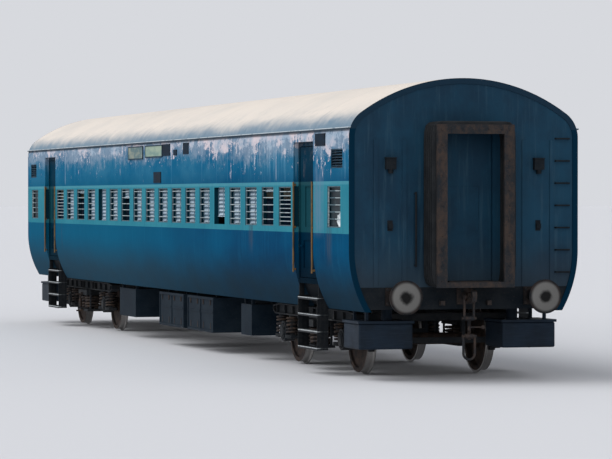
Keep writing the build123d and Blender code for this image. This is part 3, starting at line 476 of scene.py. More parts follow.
places = windows(lambda number: number not in BESIDE_DOORS + EMERGENCY)
open_guards = set_out(window_guard(0.62, 5, 0.104, 0.02), places, "window_guards")
places = windows(lambda number: number in BESIDE_DOORS)
close_guards = set_out(window_guard(0.62, 8, 0.06, 0.0), places, "close_window_guards")
places = [turned(end * LAVATORY_X, side) for end in (-1, 1) for side in (-1, 1)]
lavatory_guards = set_out(window_guard(0.595, 5, 0.095, 0.025), places, "lavatory_guards")


def from_window(here):
    """How far along the coach a place is from the middle of its own window."""
    along = (here.axis("X") / WINDOW_PITCH + 20).own("FRACT") - 0.5
    return (along * WINDOW_PITCH).size()


guard_paint, here = finish("guard_paint")
wear = here.noise((9.0, 9.0, 30.0), 5.0, 0.7)
base = wear.rise(0.45, 0.65).tint(colour(158, 172, 176), colour(104, 118, 124))
base = (wear.rise(0.66, 0.74) * 0.8).tint(base, colour(96, 62, 46))
# the rim darkened to dark teal like the reveal around it: a painted shade
rim = from_window(here).rise(0.292, 0.296)
rim = rim.own("MAXIMUM", 1 - (here.axis("Z") - SILL).within(0.016, 0.544, 0.002))
base = (rim * 0.8).tint(base, colour(22, 66, 82))
lay(guard_paint, here, base, 0.5 + wear * 0.2)
for piece in (open_guards, close_guards, lavatory_guards):
    piece.data.materials.append(guard_paint)
    hold(piece, "window_grilles", slot="grille_grey")


# Shutters. Drop shutters of pressed aluminium sheet, dull with grime: each panel is pressed back
# and carries a column of louvres, and a lift rail with two catches runs along the foot. They hang
# about 20 mm further in than the CAD's, so that the openings have the deep shade of the photograph.
def bake(piece, modifier, kind, **settings):
    """Adds a modifier to a piece and applies it."""
    added = piece.modifiers.new(modifier, kind)
    for name, value in settings.items():
        setattr(added, name, value)
    bpy.context.view_layer.objects.active = piece
    bpy.ops.object.modifier_apply(modifier=modifier)


# the share of its opening that each window's shutter covers
SHUTTER_DOWN = dict.fromkeys(range(2, WINDOW_COUNT), 1.0)
SHUTTER_DOWN.update({3: 0.14, 7: 0.3, 14: 0.8, 17: 0.13})
SHUTTER_WIDTH = 0.616
SHUTTER_FACE = -1.557
SHUTTER_EDGE = 0.026
LOUVRE_DEPTH = 0.011


def drop_shutter(share):
    """One shutter at x = 0 on the -Y side, down by this share of the opening."""
    tall = (HEAD - SILL) * share
    bpy.ops.mesh.primitive_grid_add(x_subdivisions=2, y_subdivisions=1, size=1)
    bpy.ops.transform.resize(value=(SHUTTER_WIDTH, tall, 1))
    bpy.ops.transform.rotate(value=-math.pi / 2, orient_axis="X", center_override=(0, 0, 0))
    bpy.ops.transform.translate(value=(0, SHUTTER_FACE, HEAD - tall / 2))
    sheet = join([bpy.context.object], "sheet")
    pick(sheet, lambda middle, normal: True)
    bpy.ops.mesh.inset(thickness=SHUTTER_EDGE / 2, use_individual=True)
    bpy.ops.mesh.extrude_region_move(TRANSFORM_OT_translate={"value": (0, LOUVRE_DEPTH, 0)})
    bpy.ops.object.mode_set(mode="OBJECT")
    bake(sheet, "thick", "SOLIDIFY", thickness=0.002)

    rows = max(1, round(9 * share))
    pitch = (tall - SHUTTER_EDGE) / rows
    bpy.ops.mesh.primitive_cube_add(size=1)
    wide = SHUTTER_WIDTH / 2 - 2 * SHUTTER_EDGE
    bpy.ops.transform.resize(value=(wide, LOUVRE_DEPTH, pitch * 0.66))
    louvre = join([bpy.context.object], "louvre")
    pick(louvre, lambda middle, normal: normal.z > 0.9)
    bpy.ops.transform.resize(value=(1, 0.1, 1))
    bpy.ops.transform.translate(value=(0, LOUVRE_DEPTH * 0.45, 0))
    bpy.ops.object.mode_set(mode="OBJECT")
    moves = []
    for row in range(rows):
        for x in (-SHUTTER_WIDTH / 4, SHUTTER_WIDTH / 4):
            z = HEAD - tall + SHUTTER_EDGE / 2 + (row + 0.5) * pitch
            moves.append(Matrix.Translation((x, SHUTTER_FACE + LOUVRE_DEPTH / 2, z)))
    pieces = [sheet, set_out(louvre, moves, "louvres")]

    foot = HEAD - tall
    rail = ((0, SHUTTER_FACE - 0.006, foot + 0.007), (0.6, 0.012, 0.008))
    catches = [((x, SHUTTER_FACE - 0.008, foot + 0.012), (0.034, 0.014, 0.022)) for x in (-0.2, 0.2)]
    for middle, size in (rail, *catches):
        bpy.ops.mesh.primitive_cube_add(size=1, location=middle, scale=size)
        pieces.append(bpy.context.object)
    return join(pieces, "drop_shutter")


shutters = []
for share in sorted(set(SHUTTER_DOWN.values())):
    places = windows(lambda number: SHUTTER_DOWN.get(number) == share)
    shutters.append(set_out(drop_shutter(share), places, "shutters"))
window_shutters = join(shutters, "drop_shutters")

shutter_metal, here = finish("shutter_aluminium")
stile = 1 - from_window(here).within(0.024, 0.262, 0.006)
grime = here.noise((5.0, 5.0, 7.0), 5.0, 0.65)
# the pressed-back faces and the louvres' tops darkened by depth: a painted shade in the recesses, with
# some grime
recess_shade = (1 - here.axis("Y").size().rise(1.5465, 1.553)) * 0.85
base = grime.rise(0.35, 0.7).tint(colour(170, 186, 198), colour(132, 152, 168))
base = recess_shade.tint(base, colour(58, 84, 100))
base = (stile * 0.75).tint(base, colour(64, 98, 116))
lay(shutter_metal, here, base, 0.5 + grime * 0.25)
window_shutters.data.materials.append(shutter_metal)
hold(window_shutters, "window_shutters", slot="shutter_aluminium")


# Lavatory windows. Wired glass, dark behind the bars, and at the near end the lower corner is broken
# out and patched with a bent white sheet.
pane_glass, here = finish("lavatory_pane_glass")
grime = here.noise((8.0, 8.0, 8.0), 6.0, 0.7)
base = grime.rise(0.4, 0.7).tint(colour(16, 30, 38), colour(44, 58, 64))
lay(pane_glass, here, base, 0.3 + grime * 0.3, specular=0.1)
coat(pane_glass, "lavatory_panes")

PATCH_X, PATCH_WIDE, PATCH_TALL = 10.07, 0.2, 0.19
bpy.ops.mesh.primitive_grid_add(x_subdivisions=10, y_subdivisions=10, size=1)
bpy.ops.transform.resize(value=(PATCH_WIDE, PATCH_TALL, 1))
bpy.ops.transform.rotate(value=-math.pi / 2, orient_axis="X", center_override=(0, 0, 0))
bpy.ops.transform.translate(value=(PATCH_X + PATCH_WIDE / 2, -1.584, SILL + PATCH_TALL / 2))
patch = join([bpy.context.object], "broken_pane_patch")
for point in patch.data.vertices:
    u, v = (point.co.x - PATCH_X) / PATCH_WIDE, (point.co.z - SILL) / PATCH_TALL
    point.co.x += 0.012 * math.sin(9 * v) - 0.05 * v
    point.co.z += 0.05 * (u - 0.6) * v + 0.01 * math.sin(13 * u)
    point.co.y -= 0.012 * math.sin(5 * u + 3 * v) ** 2
bake(patch, "thick", "SOLIDIFY", thickness=0.002)
patch_sheet, here = finish("patch_sheet")
stain = here.noise((14.0, 14.0, 14.0), 4.0)
lay(patch_sheet, here, stain.rise(0.4, 0.7).tint(colour(214, 222, 224), colour(150, 160, 166)), 0.6)
patch.data.materials.append(patch_sheet)
hold(patch, slot="shutter_aluminium")


# Doorways and doors. Steel frames set back in the side, and leaves of pressed steel in the same paint,
# darkened as a painted shade for the shelter of the doorway.
shaded_door_paint = livery("door_paint_in_painted_shade", 0.24, 0.0)
coat(
    shaded_door_paint,
    "door_frames", "right_front_door", "left_front_door", "right_rear_door", "left_rear_door",
)


# Handrails. Steel tube bolted upright beside each doorway, in orange-yellow paint that is rubbed
# through to brown where hands hold it.
handrail_paint, here = finish("handrail_paint")
rub = here.noise((20.0, 20.0, 5.0), 4.0, 0.7)
base = rub.rise(0.48, 0.62).tint(colour(112, 84, 48), colour(74, 61, 44))
lay(handrail_paint, here, base, 0.45 + rub * 0.2)
coat(handrail_paint, "door_handrails")


# Footsteps. Folded chequer plate welded to flat hangers below each doorway, black with dust, its lips
# pale, most of all at their outer ends.
CHEQUER = 95  # radians of the pattern in a metre

step_steel, here = finish("step_steel")
height = here.axis("Z") - RAIL
tread = ((height - 0.12) / 0.23).own("FRACT")
outer = here.axis("Y").size().rise(1.49, 1.55)
lip = tread.rise(0.93, 0.975) * (1 - height.rise(1.05, 1.06)) * (outer * 0.9 + 0.1)
scuff = here.noise((16.0, 16.0, 16.0), 5.0, 0.7)
chequer = (here.axis("X") * CHEQUER).own("SINE") * (here.axis("Y") * CHEQUER).own("SINE")
chequer = chequer.own("MAXIMUM", 0.0)
base = scuff.rise(0.35, 0.7).tint(colour(12, 18, 24), colour(32, 34, 36))
base = (lip * scuff.rise(0.25, 0.55)).tint(base, colour(176, 182, 184))
lay(step_steel, here, base, 0.6 - lip * 0.2, chequer, 0.003, metal=0.3)
coat(step_steel, "door_steps")


# End walls. Plain steel in the same dark blue, never washed: soot and brake dust lie thick on it,
# and the sliding doors of the gangways are hardly cleaner.
end_paint, here = finish("end_wall_paint")
height = here.axis("Z") - RAIL
cloud = here.noise((1.0, 1.3, 1.1), 6.0, 0.65)
rain = here.noise((6.0, 12.0, 0.8), 5.0, 0.7)
base = cloud.rise(0.3, 0.7).tint(colour(4, 40, 60), colour(12, 56, 78))
base = (rain.rise(0.5, 0.7) * 0.4).tint(base, colour(46, 74, 90))
base = ((1 - height.rise(1.0, 2.0)) * (0.4 + cloud * 0.45)).tint(base, colour(46, 50, 54))
lay(end_paint, here, base, 0.6 + cloud * 0.2, cloud, 0.005)
coat(end_paint, "end_walls", "front_end_door", "rear_end_door")


# Gangways. Bellows of rubber cloth run in five soft folds from the end wall to a steel faceplate.
# Each is a flat grid that is rolled up into a square tube, folded, and given a thickness.
FOLDS, FOLD_DEPTH = 5, 0.08
BELLOWS_LENGTH, BELLOWS_HALF_WIDTH = 0.42, 0.51
BELLOWS_FOOT, BELLOWS_HEAD = 1.26, 3.36  # above the rails

bpy.ops.mesh.primitive_grid_add(x_subdivisions=60, y_subdivisions=96, size=1)
cloth = join([bpy.context.object], "gangway_cloth")
for point in cloth.data.vertices:
    along, turn = point.co.x + 0.5, 2 * math.pi * point.co.y
    crest = (0.5 - 0.5 * math.cos(2 * FOLDS * math.pi * along)) ** 0.7
    across, up = math.cos(turn), math.sin(turn)
    square = (abs(across) ** 14 + abs(up) ** 14) ** (-1 / 14)
    low, high = BELLOWS_FOOT - 0.03 * crest, BELLOWS_HEAD + FOLD_DEPTH * crest
    point.co.x = BODY_END + 0.005 + BELLOWS_LENGTH * along
    point.co.y = across * square * (BELLOWS_HALF_WIDTH + FOLD_DEPTH * crest)
    point.co.z = RAIL + (low + high) / 2 + up * square * (high - low) / 2
bpy.context.view_layer.objects.active = cloth
bpy.ops.object.mode_set(mode="EDIT")
bpy.ops.mesh.select_all(action="SELECT")
bpy.ops.mesh.remove_doubles(threshold=0.0005)
bpy.ops.mesh.normals_make_consistent(inside=False)
bpy.ops.object.mode_set(mode="OBJECT")
bake(cloth, "thick", "SOLIDIFY", thickness=0.006)
bpy.ops.object.select_all(action="DESELECT")
cloth.select_set(True)
bpy.ops.object.shade_smooth()
gangway_cloth = set_out(cloth, [turned(0, end=end) for end in (1, -1)], "gangway_cloth")
hold(gangway_cloth, "gangway_bellows", slot="bellows_rubber")

bellows_cloth, here = finish("bellows_cloth")
weave = here.noise((3.0, 3.0, 3.0), 6.0, 0.7)
fine = here.noise((140.0, 140.0, 140.0), 2.0)
base = weave.rise(0.35, 0.7).tint(colour(14, 18, 22), colour(34, 36, 38))
lay(bellows_cloth, here, base, 0.78 + weave * 0.15, fine * 0.3 + weave, 0.006)
gangway_cloth.data.materials.append(bellows_cloth)


# Underframe. Solebars, cross-bearers, headstocks and bolsters of welded steel, in black paint under a
# coat of brake dust, the black tinted blue as a painted shade under the coach. The rails, rungs and
# sockets on the end walls are as dark.
dark_steel, here = finish("underframe_steel")
dust = here.noise((2.2, 2.2, 3.4), 6.0, 0.65)
grit = here.noise((38.0, 38.0, 38.0), 4.0, 0.6)
base = dust.rise(0.3, 0.68).tint(colour(12, 20, 27), colour(30, 34, 38))
base = (grit.rise(0.55, 0.75) * 0.4).tint(base, colour(56, 52, 48))
lay(dark_steel, here, base, 0.68 + dust * 0.2, grit * 0.3 + dust, 0.004, metal=0.1, specular=0.1)
coat(dark_steel, "solebars", "cross_bearers", "headstocks", "body_bolsters", "end_fittings")


# Draw gear and gangway plates. Forged and rolled steel with hardly any paint left, rusty, and worn
# where it rubs on the next coach's.
worn_steel, here = finish("worn_steel")
rust = here.noise((5.0, 7.0, 4.0), 8.0, 0.74)
grit = here.noise((46.0, 46.0, 46.0), 4.0, 0.6)
base = rust.rise(0.36, 0.68).tint(colour(32, 37, 42), colour(68, 57, 51))
base = (grit.rise(0.55, 0.72) * 0.5).tint(base, colour(84, 64, 52))
lay(worn_steel, here, base, 0.5 + rust * 0.3, grit, 0.002, metal=0.5)
coat(
    worn_steel,
    "gangway_faceplates", "gangway_footplates", "draw_hooks", "screw_couplings", "brake_pipes",
)


# Bolts and rivets at the ends. Hexagon bolts hold the buffers and the draw gear to the headstock,
# round rivets go round the gangway's faceplate, and the coupling's screw has a coarse thread.
def lathe(profile, sides=24):
    """A closed round piece about Z through (radius, height) pairs, drawn up from a disc."""
    radius, height = profile[0]
    bpy.ops.mesh.primitive_circle_add(
        vertices=sides, radius=radius, fill_type="NGON", location=(0, 0, height)
    )
    bpy.ops.object.mode_set(mode="EDIT")
    for next_radius, next_height in profile[1:]:
        up = (0, 0, next_height - height)
        bpy.ops.mesh.extrude_region_move(TRANSFORM_OT_translate={"value": up})
        bpy.ops.transform.resize(value=(next_radius / radius, next_radius / radius, 1))
        radius, height = next_radius, next_height
    bpy.ops.mesh.select_all(action="SELECT")
    bpy.ops.mesh.normals_make_consistent(inside=False)
    bpy.ops.object.mode_set(mode="OBJECT")
    return bpy.context.object


def hex_bolt(size):
    """A bolt head on its washer, facing +Z."""
    washer = lathe([(1.3 * size, -0.001), (1.3 * size, 0.2 * size)], 16)
    head = lathe([(size, 0.2 * size), (size, 0.8 * size), (0.86 * size, 0.92 * size)], 6)
    return join([washer, head], "hex_bolt")


def facing_x(x, y, z, end):
    """The move of a piece that faces +Z to one at this place that faces along the coach."""
    return Matrix.Translation((x, y, z)) @ Matrix.Rotation(end * math.pi / 2, 4, "Y")


def facing_y(x, y, z, side=-1):
    """The move of a piece that faces +Z to one at this place that faces out of a side."""
    return Matrix.Translation((x, y, z)) @ Matrix.Rotation(-side * math.pi / 2, 4, "X")


BUFFER_Y, BUFFER_Z = 0.978, RAIL + 1.105
BUFFER_BASE_X, DRAW_PLATE_X, FACEPLATE_X = 10.6785, 10.6735, 11.12

places = []
for end in (-1, 1):
    for side in (-1, 1):
        for y in (BUFFER_Y - 0.115, BUFFER_Y + 0.115):
            for z in (-0.092, 0.092):
                places.append(facing_x(end * BUFFER_BASE_X, side * y, BUFFER_Z + z, end))
    for y in (-0.085, 0.085):
        for z in (-0.085, 0.085):
            places.append(facing_x(end * DRAW_PLATE_X, y, BUFFER_Z + z, end))
end_bolts = set_out(hex_bolt(0.017), places, "end_bolts")

places = []
for end in (-1, 1):
    for side in (-1, 1):
        for k in range(11):
            places.append(facing_x(end * FACEPLATE_X, side * 0.4725, RAIL + 1.32 + 0.2 * k, end))
    for k in range(5):
        places.append(facing_x(end * FACEPLATE_X, (k - 2) * 0.18, RAIL + 3.333, end))
rivet_head = lathe([(0.013, -0.001), (0.012, 0.004), (0.007, 0.008)], 10)
faceplate_rivets = set_out(rivet_head, places, "faceplate_rivets")

THREAD_ROOT, THREAD_CREST, THREAD_PITCH, THREAD_TURNS = 0.0235, 0.0275, 0.007, 17
thread = [(THREAD_ROOT, 0.0)]
for k in range(THREAD_TURNS):
    thread.append((THREAD_CREST, THREAD_PITCH * (k + 0.5)))
    thread.append((THREAD_ROOT, THREAD_PITCH * (k + 1)))
down = [(end, BUFFER_Z - z) for end in (-1, 1) for z in (0.40, 0.57)]
places = [Matrix.Translation((end * 10.8435, 0, z)) for end, z in down]
coupling_thread = set_out(lathe(thread, 16), places, "coupling_thread")
for piece in (end_bolts, faceplate_rivets, coupling_thread):
    piece.data.materials.append(worn_steel)
    hold(piece, slot="worn_steel")


# Plate frames and screws. The two pale boards slide into frames of folded steel, and a round-headed
# screw holds each corner of the other plates. Each is given by its lowest and highest X, and by its
# foot and head above the rails.
BOARDS = [(-1.98, -0.93, 3.08, 3.29), (-0.74, 0.42, 3.10, 3.29)]
PLATES = [
    (0.44, 0.93, 3.11, 3.30), (1.18, 1.40, 3.11, 3.20), (1.81, 2.15, 3.12, 3.30),
    (-0.17, 0.33, 2.67, 2.85), (9.13, 9.59, 3.13, 3.30),
]
SIDE_TURNS = [Matrix.Identity(4), Matrix.Rotation(math.pi, 4, "Z")]
FRAME_LAP = 0.007

board_frames = []
for low_x, high_x, low_z, high_z in BOARDS:
    middle = ((low_x + high_x) / 2, -1.6305, RAIL + (low_z + high_z) / 2)
    size = (high_x - low_x + 2 * FRAME_LAP, 0.016, high_z - low_z + 2 * FRAME_LAP)
    board_frame = plate_rim(middle, size, 0.018, "board_frame")
    board_frames.append(set_out(board_frame, SIDE_TURNS, "board_frames"))
board_frames = join(board_frames, "board_frames")
board_frames.data.materials.append(louvre_paint)
hold(board_frames, slot="sign_dark")

places = []
for low_x, high_x, low_z, high_z in PLATES:
    for x in (low_x + 0.02, high_x - 0.02):
        for z in (low_z + 0.02, high_z - 0.02):
            places += [turn @ facing_y(x, -1.6335, RAIL + z) for turn in SIDE_TURNS]
screw_head = lathe([(0.008, -0.001), (0.007, 0.0025), (0.004, 0.004)], 10)
plate_screws = set_out(screw_head, places, "plate_screws")
plate_screws.data.materials.append(worn_steel)
hold(plate_screws, slot="worn_steel")


# Buffers. Forged heads on sprung plungers: the faces are rubbed bright in a ring and black with
# grease in the middle.
buffer_steel, here = finish("buffer_steel")
off = here.axis("Y").size() - BUFFER_Y
up = here.axis("Z") - BUFFER_Z
out = (off * off + up * up).own("SQRT")
rust = here.noise((6.0, 6.0, 6.0), 6.0, 0.7)
face = here.axis("X").size().rise(11.1285, 11.1305)
base = rust.rise(0.35, 0.65).tint(colour(20, 24, 28), colour(48, 42, 40))
base = (face * (1 - out.rise(0.17, 0.215))).tint(base, colour(104, 103, 101))
base = (face * (1 - (out + (rust - 0.5) * 0.12).rise(0.05, 0.11))).tint(base, colour(22, 22, 22))
lay(buffer_steel, here, base, 0.45 + rust * 0.3, metal=0.6)
coat(buffer_steel, "buffers")


# Floor. Plywood laid on corrugated steel and covered from end to end in brown-grey sheet, worn
# pale where people walk.
floor_sheet, here = finish("floor_sheet")
scuff = here.noise((3.0, 3.0, 3.0), 6.0, 0.7)
lay(floor_sheet, here, scuff.rise(0.3, 0.7).tint(colour(70, 66, 60), colour(104, 96, 86)), 0.7)
coat(floor_sheet, "floor")


# Gear under the floor. Painted sheet-steel battery and equipment boxes and air reservoirs, grey with
# dust, and the stainless tanks of the lavatories: all are coloured dark blue-black as a painted shade
# under the floor.
shaded_gear_paint, here = finish("shaded_gear_paint")
height = here.axis("Z") - RAIL
dust = here.noise((1.6, 1.6, 2.4), 6.0, 0.65)
run = here.noise((13.0, 13.0, 1.4), 5.0, 0.7)
grit = here.noise((46.0, 46.0, 46.0), 3.0)
# a dark blue-black base, a painted shade under the floor, with dust
base = dust.rise(0.3, 0.7).tint(colour(9, 23, 34), colour(27, 38, 47))
base = (run.rise(0.55, 0.72) * 0.5).tint(base, colour(22, 30, 38))
base = (grit.rise(0.58, 0.72) * 0.4).tint(base, colour(50, 52, 52))
lay(shaded_gear_paint, here, base, 0.6 + dust * 0.25, dust + grit * 0.1, 0.004, specular=0.08)
coat(shaded_gear_paint, "battery_boxes", "air_reservoirs", "brake_cylinders")

tank_steel, here = finish("tank_steel")
brushed = here.noise((4.0, 4.0, 60.0), 4.0, 0.6)
dust = here.noise((2.4, 2.4, 3.0), 6.0, 0.65)
# the stainless steel coloured dark blue-grey, a painted shade under the floor
base = dust.rise(0.32, 0.7).tint(colour(26, 38, 51), colour(24, 32, 41))
base = (brushed.rise(0.5, 0.7) * 0.3).tint(base, colour(46, 58, 70))
lay(tank_steel, here, base, 0.42 + dust * 0.3, brushed, 0.0008, metal=0.2, specular=0.1)
coat(tank_steel, "toilet_tanks")


# Battery box fastenings. Each door has two toggle latches at its top edge and two strap hinges
# at its foot, of pressed steel, bolted on.
bpy.ops.mesh.primitive_cube_add(size=1)
bpy.ops.transform.resize(value=(0.045, 0.008, 0.07))
latch_plate = join([bpy.context.object], "latch_plate")
bake(latch_plate, "edge", "BEVEL", width=0.002, segments=2)
bpy.ops.mesh.primitive_cube_add(size=1, location=(0, -0.008, 0.004))
bpy.ops.transform.resize(value=(0.018, 0.012, 0.085))
latch_arm = join([bpy.context.object], "latch_arm")
pick(latch_arm, lambda middle, normal: normal.y < -0.9)
bpy.ops.transform.resize(value=(0.7, 1, 0.86))
bpy.ops.object.mode_set(mode="OBJECT")
latch = join([latch_plate, latch_arm], "latch")

bpy.ops.mesh.primitive_cube_add(size=1, location=(0, 0, 0.05))
bpy.ops.transform.resize(value=(0.03, 0.006, 0.1))
strap = join([bpy.context.object], "strap")
pick(strap, lambda middle, normal: normal.z > 0.9)
bpy.ops.transform.resize(value=(0.5, 1, 1))
bpy.ops.object.mode_set(mode="OBJECT")
knuckle = lathe([(0.008, -0.035), (0.01, -0.033), (0.01, 0.033), (0.008, 0.035)], 12)
knuckle.data.transform(Matrix.Rotation(math.pi / 2, 4, "Y"))
strap_hinge = join([strap, knuckle], "strap_hinge")

BOX_DOORS = [(-0.67, 0.095), (0.135, 0.90), (1.22, 1.98), (2.02, 2.78)]
BOX_FACE, LATCH_Z, HINGE_Z = -1.391, RAIL + 0.765, RAIL + 0.352
latch_places = []
hinge_places = []
for turn in SIDE_TURNS:
    for low_x, high_x in BOX_DOORS:
        for x in (low_x + 0.16, high_x - 0.16):
            latch_places.append(turn @ Matrix.Translation((x, BOX_FACE, LATCH_Z)))
            hinge_places.append(turn @ Matrix.Translation((x, BOX_FACE, HINGE_Z)))
box_latches = set_out(latch, latch_places, "box_latches")
box_hinges = set_out(strap_hinge, hinge_places, "box_hinges")
for piece in (box_latches, box_hinges):
    piece.data.materials.append(worn_steel)
    hold(piece, slot="worn_steel")


# Bogies. Welded steel frames under years of brake dust, so more brown than black, with oily dark
# patches at the bolster and the axle boxes.
bogie_steel, here = finish("bogie_steel")
dust = here.noise((3.0, 3.0, 3.6), 6.0, 0.65)
grit = here.noise((42.0, 42.0, 42.0), 4.0, 0.6)
oil = here.noise((1.6, 2.0, 2.0), 3.0)
base = dust.rise(0.3, 0.68).tint(colour(20, 26, 32), colour(40, 42, 44))
base = (grit.rise(0.55, 0.72) * 0.4).tint(base, colour(70, 60, 52))
oily = oil.rise(0.58, 0.68)
base = oily.tint(base, colour(12, 14, 17))
lay(bogie_steel, here, base, 0.78 - oily * 0.35, grit * 0.3 + dust, 0.004, specular=0.15)
for end in ("front", "rear"):
    for part in ("bogie_frame", "bogie_bolster", "axle_boxes", "brake_gear"):
        coat(bogie_steel, f"{end}_{part}")


# Springs. Open coils of round bar with closed ends: two on each axle box and two under each end of
# the bolster, with an upright hydraulic damper between those. They stand in for the CAD's coils.
def coil(radius, wire, turns, low, high):
    """A coil about Z, made by winding a tube of round section."""
    steps, around = round(turns * 28), 12
    bpy.ops.mesh.primitive_grid_add(x_subdivisions=steps, y_subdivisions=around, size=1)
    bar = join([bpy.context.object], "coil")
    middle = radius - wire
    rise = high - low - 2 * wire
    for point in bar.data.vertices:
        along, round_bar = point.co.x + 0.5, 2 * math.pi * point.co.y
        wound = 2 * math.pi * turns * along
        climb = along - 0.3 * math.sin(2 * math.pi * along) / (2 * math.pi)
        reach = middle + wire * math.cos(round_bar)
        point.co = (
            reach * math.cos(wound), reach * math.sin(wound),
            low + wire + rise * climb + wire * math.sin(round_bar),
        )
    bpy.context.view_layer.objects.active = bar
    bpy.ops.object.mode_set(mode="EDIT")
    bpy.ops.mesh.select_all(action="SELECT")
    bpy.ops.mesh.remove_doubles(threshold=0.0002)
    bpy.ops.mesh.select_mode(type="EDGE")
    bpy.ops.mesh.select_all(action="DESELECT")
    bpy.ops.mesh.select_non_manifold(extend=False)
    bpy.ops.mesh.edge_face_add()
    bpy.ops.mesh.select_all(action="SELECT")
    bpy.ops.mesh.normals_make_consistent(inside=False)
    bpy.ops.object.mode_set(mode="OBJECT")
    bpy.ops.object.shade_smooth_by_angle(angle=math.radians(50))
    return bar


spring_steel, here = finish("spring_steel")
rust = here.noise((14.0, 14.0, 14.0), 5.0, 0.65)
base = rust.rise(0.35, 0.66).tint(colour(30, 30, 33), colour(66, 54, 46))
lay(spring_steel, here, base, 0.55 + rust * 0.25, rust, 0.001, metal=0.3)

BOGIE_X, HALF_BASE, JOURNAL_Y = 7.3915, 1.448, 1.0795
AXLE_Z = RAIL + 0.4575
DAMPER_Y, DAMPER_FOOT, DAMPER_HEAD = 1.282, RAIL + 0.33, RAIL + 0.64
BOX_BOLTS_Y, BOX_BOLTS_RADIUS = 1.18, 0.1
BOX_COIL_X, BOLSTER_COIL_X = 0.262, 0.182

for end, name in ((1, "front"), (-1, "rear")):
    places = []
    for side in (-1, 1):
        for axle in (-HALF_BASE, HALF_BASE):
            for x in (-BOX_COIL_X, BOX_COIL_X):
                places.append(Matrix.Translation((end * BOGIE_X + axle + x, side * JOURNAL_Y, 0)))
    box_coil = coil(0.107, 0.01675, 5.5, RAIL + 0.41, RAIL + 0.70)
    box_coils = set_out(box_coil, places, name + "_box_coils")
    places = []
    for side in (-1, 1):
        for x in (-BOLSTER_COIL_X, BOLSTER_COIL_X):
            places.append(Matrix.Translation((end * BOGIE_X + x, side * JOURNAL_Y, 0)))
    bolster_coil = coil(0.15, 0.021, 4.5, RAIL + 0.33, RAIL + 0.59)
    bolster_coils = set_out(bolster_coil, places, name + "_bolster_coils")
    body = lathe([
        (0.030, DAMPER_FOOT + 0.025), (0.034, DAMPER_FOOT + 0.03), (0.034, DAMPER_FOOT + 0.12),
        (0.030, DAMPER_FOOT + 0.125), (0.030, DAMPER_FOOT + 0.19), (0.016, DAMPER_FOOT + 0.195),
        (0.016, DAMPER_FOOT + 0.22), (0.022, DAMPER_FOOT + 0.222), (0.022, DAMPER_HEAD - 0.025),
    ])
    parts = [body]
    for z in (DAMPER_FOOT, DAMPER_HEAD):
        eye = lathe([(0.027, -0.025), (0.030, -0.022), (0.030, 0.022), (0.027, 0.025)])
        eye.data.transform(facing_y(0, 0, z))
        pin = lathe([(0.014, -0.035), (0.014, 0.044)], 12)
        pin.data.transform(facing_y(0, 0, z, 1))
        parts += [eye, pin]
    damper = join(parts, "damper")
    places = [
        Matrix.Translation((end * BOGIE_X, DAMPER_Y, 0)),
        Matrix.Translation((end * BOGIE_X, -DAMPER_Y, 0)) @ Matrix.Rotation(math.pi, 4, "Z"),
    ]
    dampers = set_out(damper, places, name + "_dampers")
    places = []
    for side in (-1, 1):
        for axle in (-HALF_BASE, HALF_BASE):
            for k in range(6):
                turn = math.radians(30 + 60 * k)
                x = end * BOGIE_X + axle + BOX_BOLTS_RADIUS * math.cos(turn)
                z = AXLE_Z + BOX_BOLTS_RADIUS * math.sin(turn)
                places.append(facing_y(x, side * BOX_BOLTS_Y, z, side))
    box_bolts = set_out(hex_bolt(0.011), places, name + "_axle_box_bolts")
    for piece in (box_coils, bolster_coils, dampers):
        piece.data.materials.append(spring_steel)
        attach(piece, name + "_bogie")
        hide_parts(name + "_bogie_springs")
    box_bolts.data.materials.append(bogie_steel)
    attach(box_bolts, name + "_bogie")


# Wheelsets. Rolled steel wheels on turned axles: the treads and flanges are bright from the rail
# and the rest is dry rust.
wheel_steel, here = finish("wheel_steel")
off = (here.axis("X").size() - BOGIE_X).size() - HALF_BASE
up = here.axis("Z") - AXLE_Z
out = (off * off + up * up).own("SQRT")
rust = here.noise((9.0, 9.0, 9.0), 6.0, 0.7)
tread = out.rise(0.4535, 0.4555)
base = rust.rise(0.35, 0.68).tint(colour(34, 30, 30), colour(66, 52, 44))
base = (out.within(0.36, 0.40, 0.02) * 0.5).tint(base, colour(24, 22, 23))
base = tread.tint(base, colour(152, 150, 148))
lay(wheel_steel, here, base, 0.8 - tread * 0.5, rust * (1 - tread), 0.002, metal=tread)
for end in ("front", "rear"):
    for place in ("outer", "inner"):
        coat(wheel_steel, f"{end}_{place}_wheels", f"{end}_{place}_axle")


# Partitions. Boards of pale laminate, fixed between the bays and round the lavatories, scuffed and
# smudged.
laminate, here = finish("partition_laminate")
smudge = here.noise((2.0, 2.4, 2.0), 6.0, 0.65)
base = smudge.rise(0.35, 0.72).tint(colour(186, 184, 166), colour(150, 146, 130))
lay(laminate, here, base, 0.4 + smudge * 0.2)
coat(laminate, "bay_partitions", "lavatory_walls")


# Berths. Foam pads in blue rexine on plywood boards, sewn across into three: a seat, a hinged back
# that makes the middle berth, and an upper berth on each side of a bay, and two tiers at the aisle.
PAD_THICK = 0.036
MOST_SWELL = 0.01
FLOOR_TOP = 1.303  # above the rails

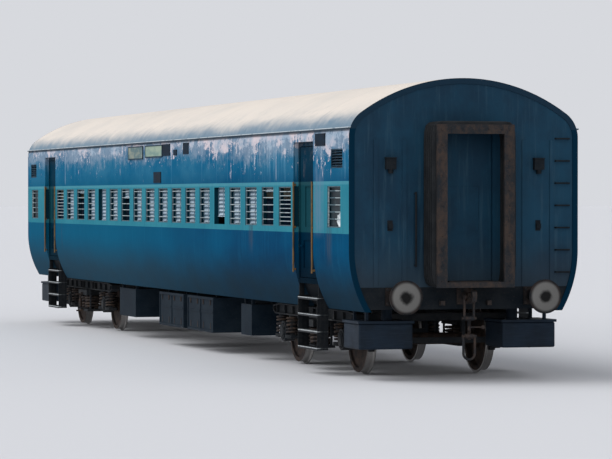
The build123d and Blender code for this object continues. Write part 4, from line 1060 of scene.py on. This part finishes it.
bpy.ops.mesh.primitive_cube_add(size=1)
bpy.ops.transform.resize(value=(0.574, 0.65, PAD_THICK))
pad = join([bpy.context.object], "pad")
bpy.ops.object.mode_set(mode="EDIT")
bpy.ops.mesh.select_all(action="SELECT")
bpy.ops.mesh.subdivide(number_cuts=7)
bpy.ops.object.mode_set(mode="OBJECT")
start = [point.co.copy() for point in pad.data.vertices]
swell = pad.modifiers.new("swell", "CLOTH")
swell.settings.use_pressure = True
swell.settings.uniform_pressure_force = 4
swell.settings.tension_stiffness = 40
swell.settings.effector_weights.gravity = 0
for moment in range(1, 21):
    scene.frame_set(moment)
bpy.context.view_layer.objects.active = pad
bpy.ops.object.modifier_apply(modifier="swell")
for point, first in zip(pad.data.vertices, start):
    moved = point.co - first
    if moved.length > MOST_SWELL:
        moved *= MOST_SWELL / moved.length
    point.co = first + moved
    point.co.z = max(point.co.z, -PAD_THICK / 2) + PAD_THICK / 2
bpy.ops.object.select_all(action="DESELECT")
pad.select_set(True)
bpy.ops.object.shade_smooth()
rows = [Matrix.Translation((0, k * 0.652, 0)) for k in (-1, 0, 1)]
pad = set_out(pad, rows, "pad")

bpy.ops.mesh.primitive_cube_add(size=1, location=(0, 0, -0.008), scale=(0.586, 1.966, 0.016))
board = join([bpy.context.object], "board")
bake(board, "soft_edge", "BEVEL", width=0.004, segments=2)

LAST_WALL = 8.0
WALLS = [-LAST_WALL, *((k - 4.5) * BAY for k in range(1, 9)), LAST_WALL]
BERTH_MIDDLE = -(1.5725 - 0.4) / 2
LEVELS = [RAIL + FLOOR_TOP + up + 0.017 for up in (0.45, 1.61)]
BACK_Z = RAIL + FLOOR_TOP + 0.84
berth_places = []
for wall in WALLS:
    for towards in (-1, 1):
        if abs(wall + towards) > LAST_WALL:
            continue
        middle = wall + towards * (0.02 + 0.295)
        for level in LEVELS:
            berth_places.append(Matrix.Translation((middle, BERTH_MIDDLE, level)))
        hung = Matrix.Translation((wall + towards * 0.037, BERTH_MIDDLE, BACK_Z))
        upright = Matrix.Rotation(towards * math.pi / 2, 4, "Y")
        berth_places.append(hung @ upright @ Matrix.Diagonal((0.94, 1, 1, 1)))
for k in range(9):
    for level in LEVELS:
        aisle = Matrix.Translation(((k - 4) * 1.76, 1.251, level))
        quarter = Matrix.Rotation(math.pi / 2, 4, "Z")
        berth_places.append(aisle @ quarter @ Matrix.Diagonal((1.07, 0.885, 1, 1)))
berth_pads = set_out(pad, berth_places, "berth_pads")
berth_boards = set_out(board, berth_places, "berth_boards")
hold(berth_pads, "berths", slot="berth_blue")
hold(berth_boards, slot="laminate_cream")

berth_cloth, here = finish("berth_cloth")
crease = here.noise((6.0, 6.0, 6.0), 5.0, 0.6)
grain = here.noise((240.0, 240.0, 240.0), 2.0)
base = crease.rise(0.3, 0.7).tint(colour(14, 40, 66), colour(26, 56, 84))
lay(berth_cloth, here, base, 0.42 + crease * 0.2, crease + grain * 0.1, 0.003)
berth_pads.data.materials.append(berth_cloth)
berth_boards.data.materials.append(laminate)
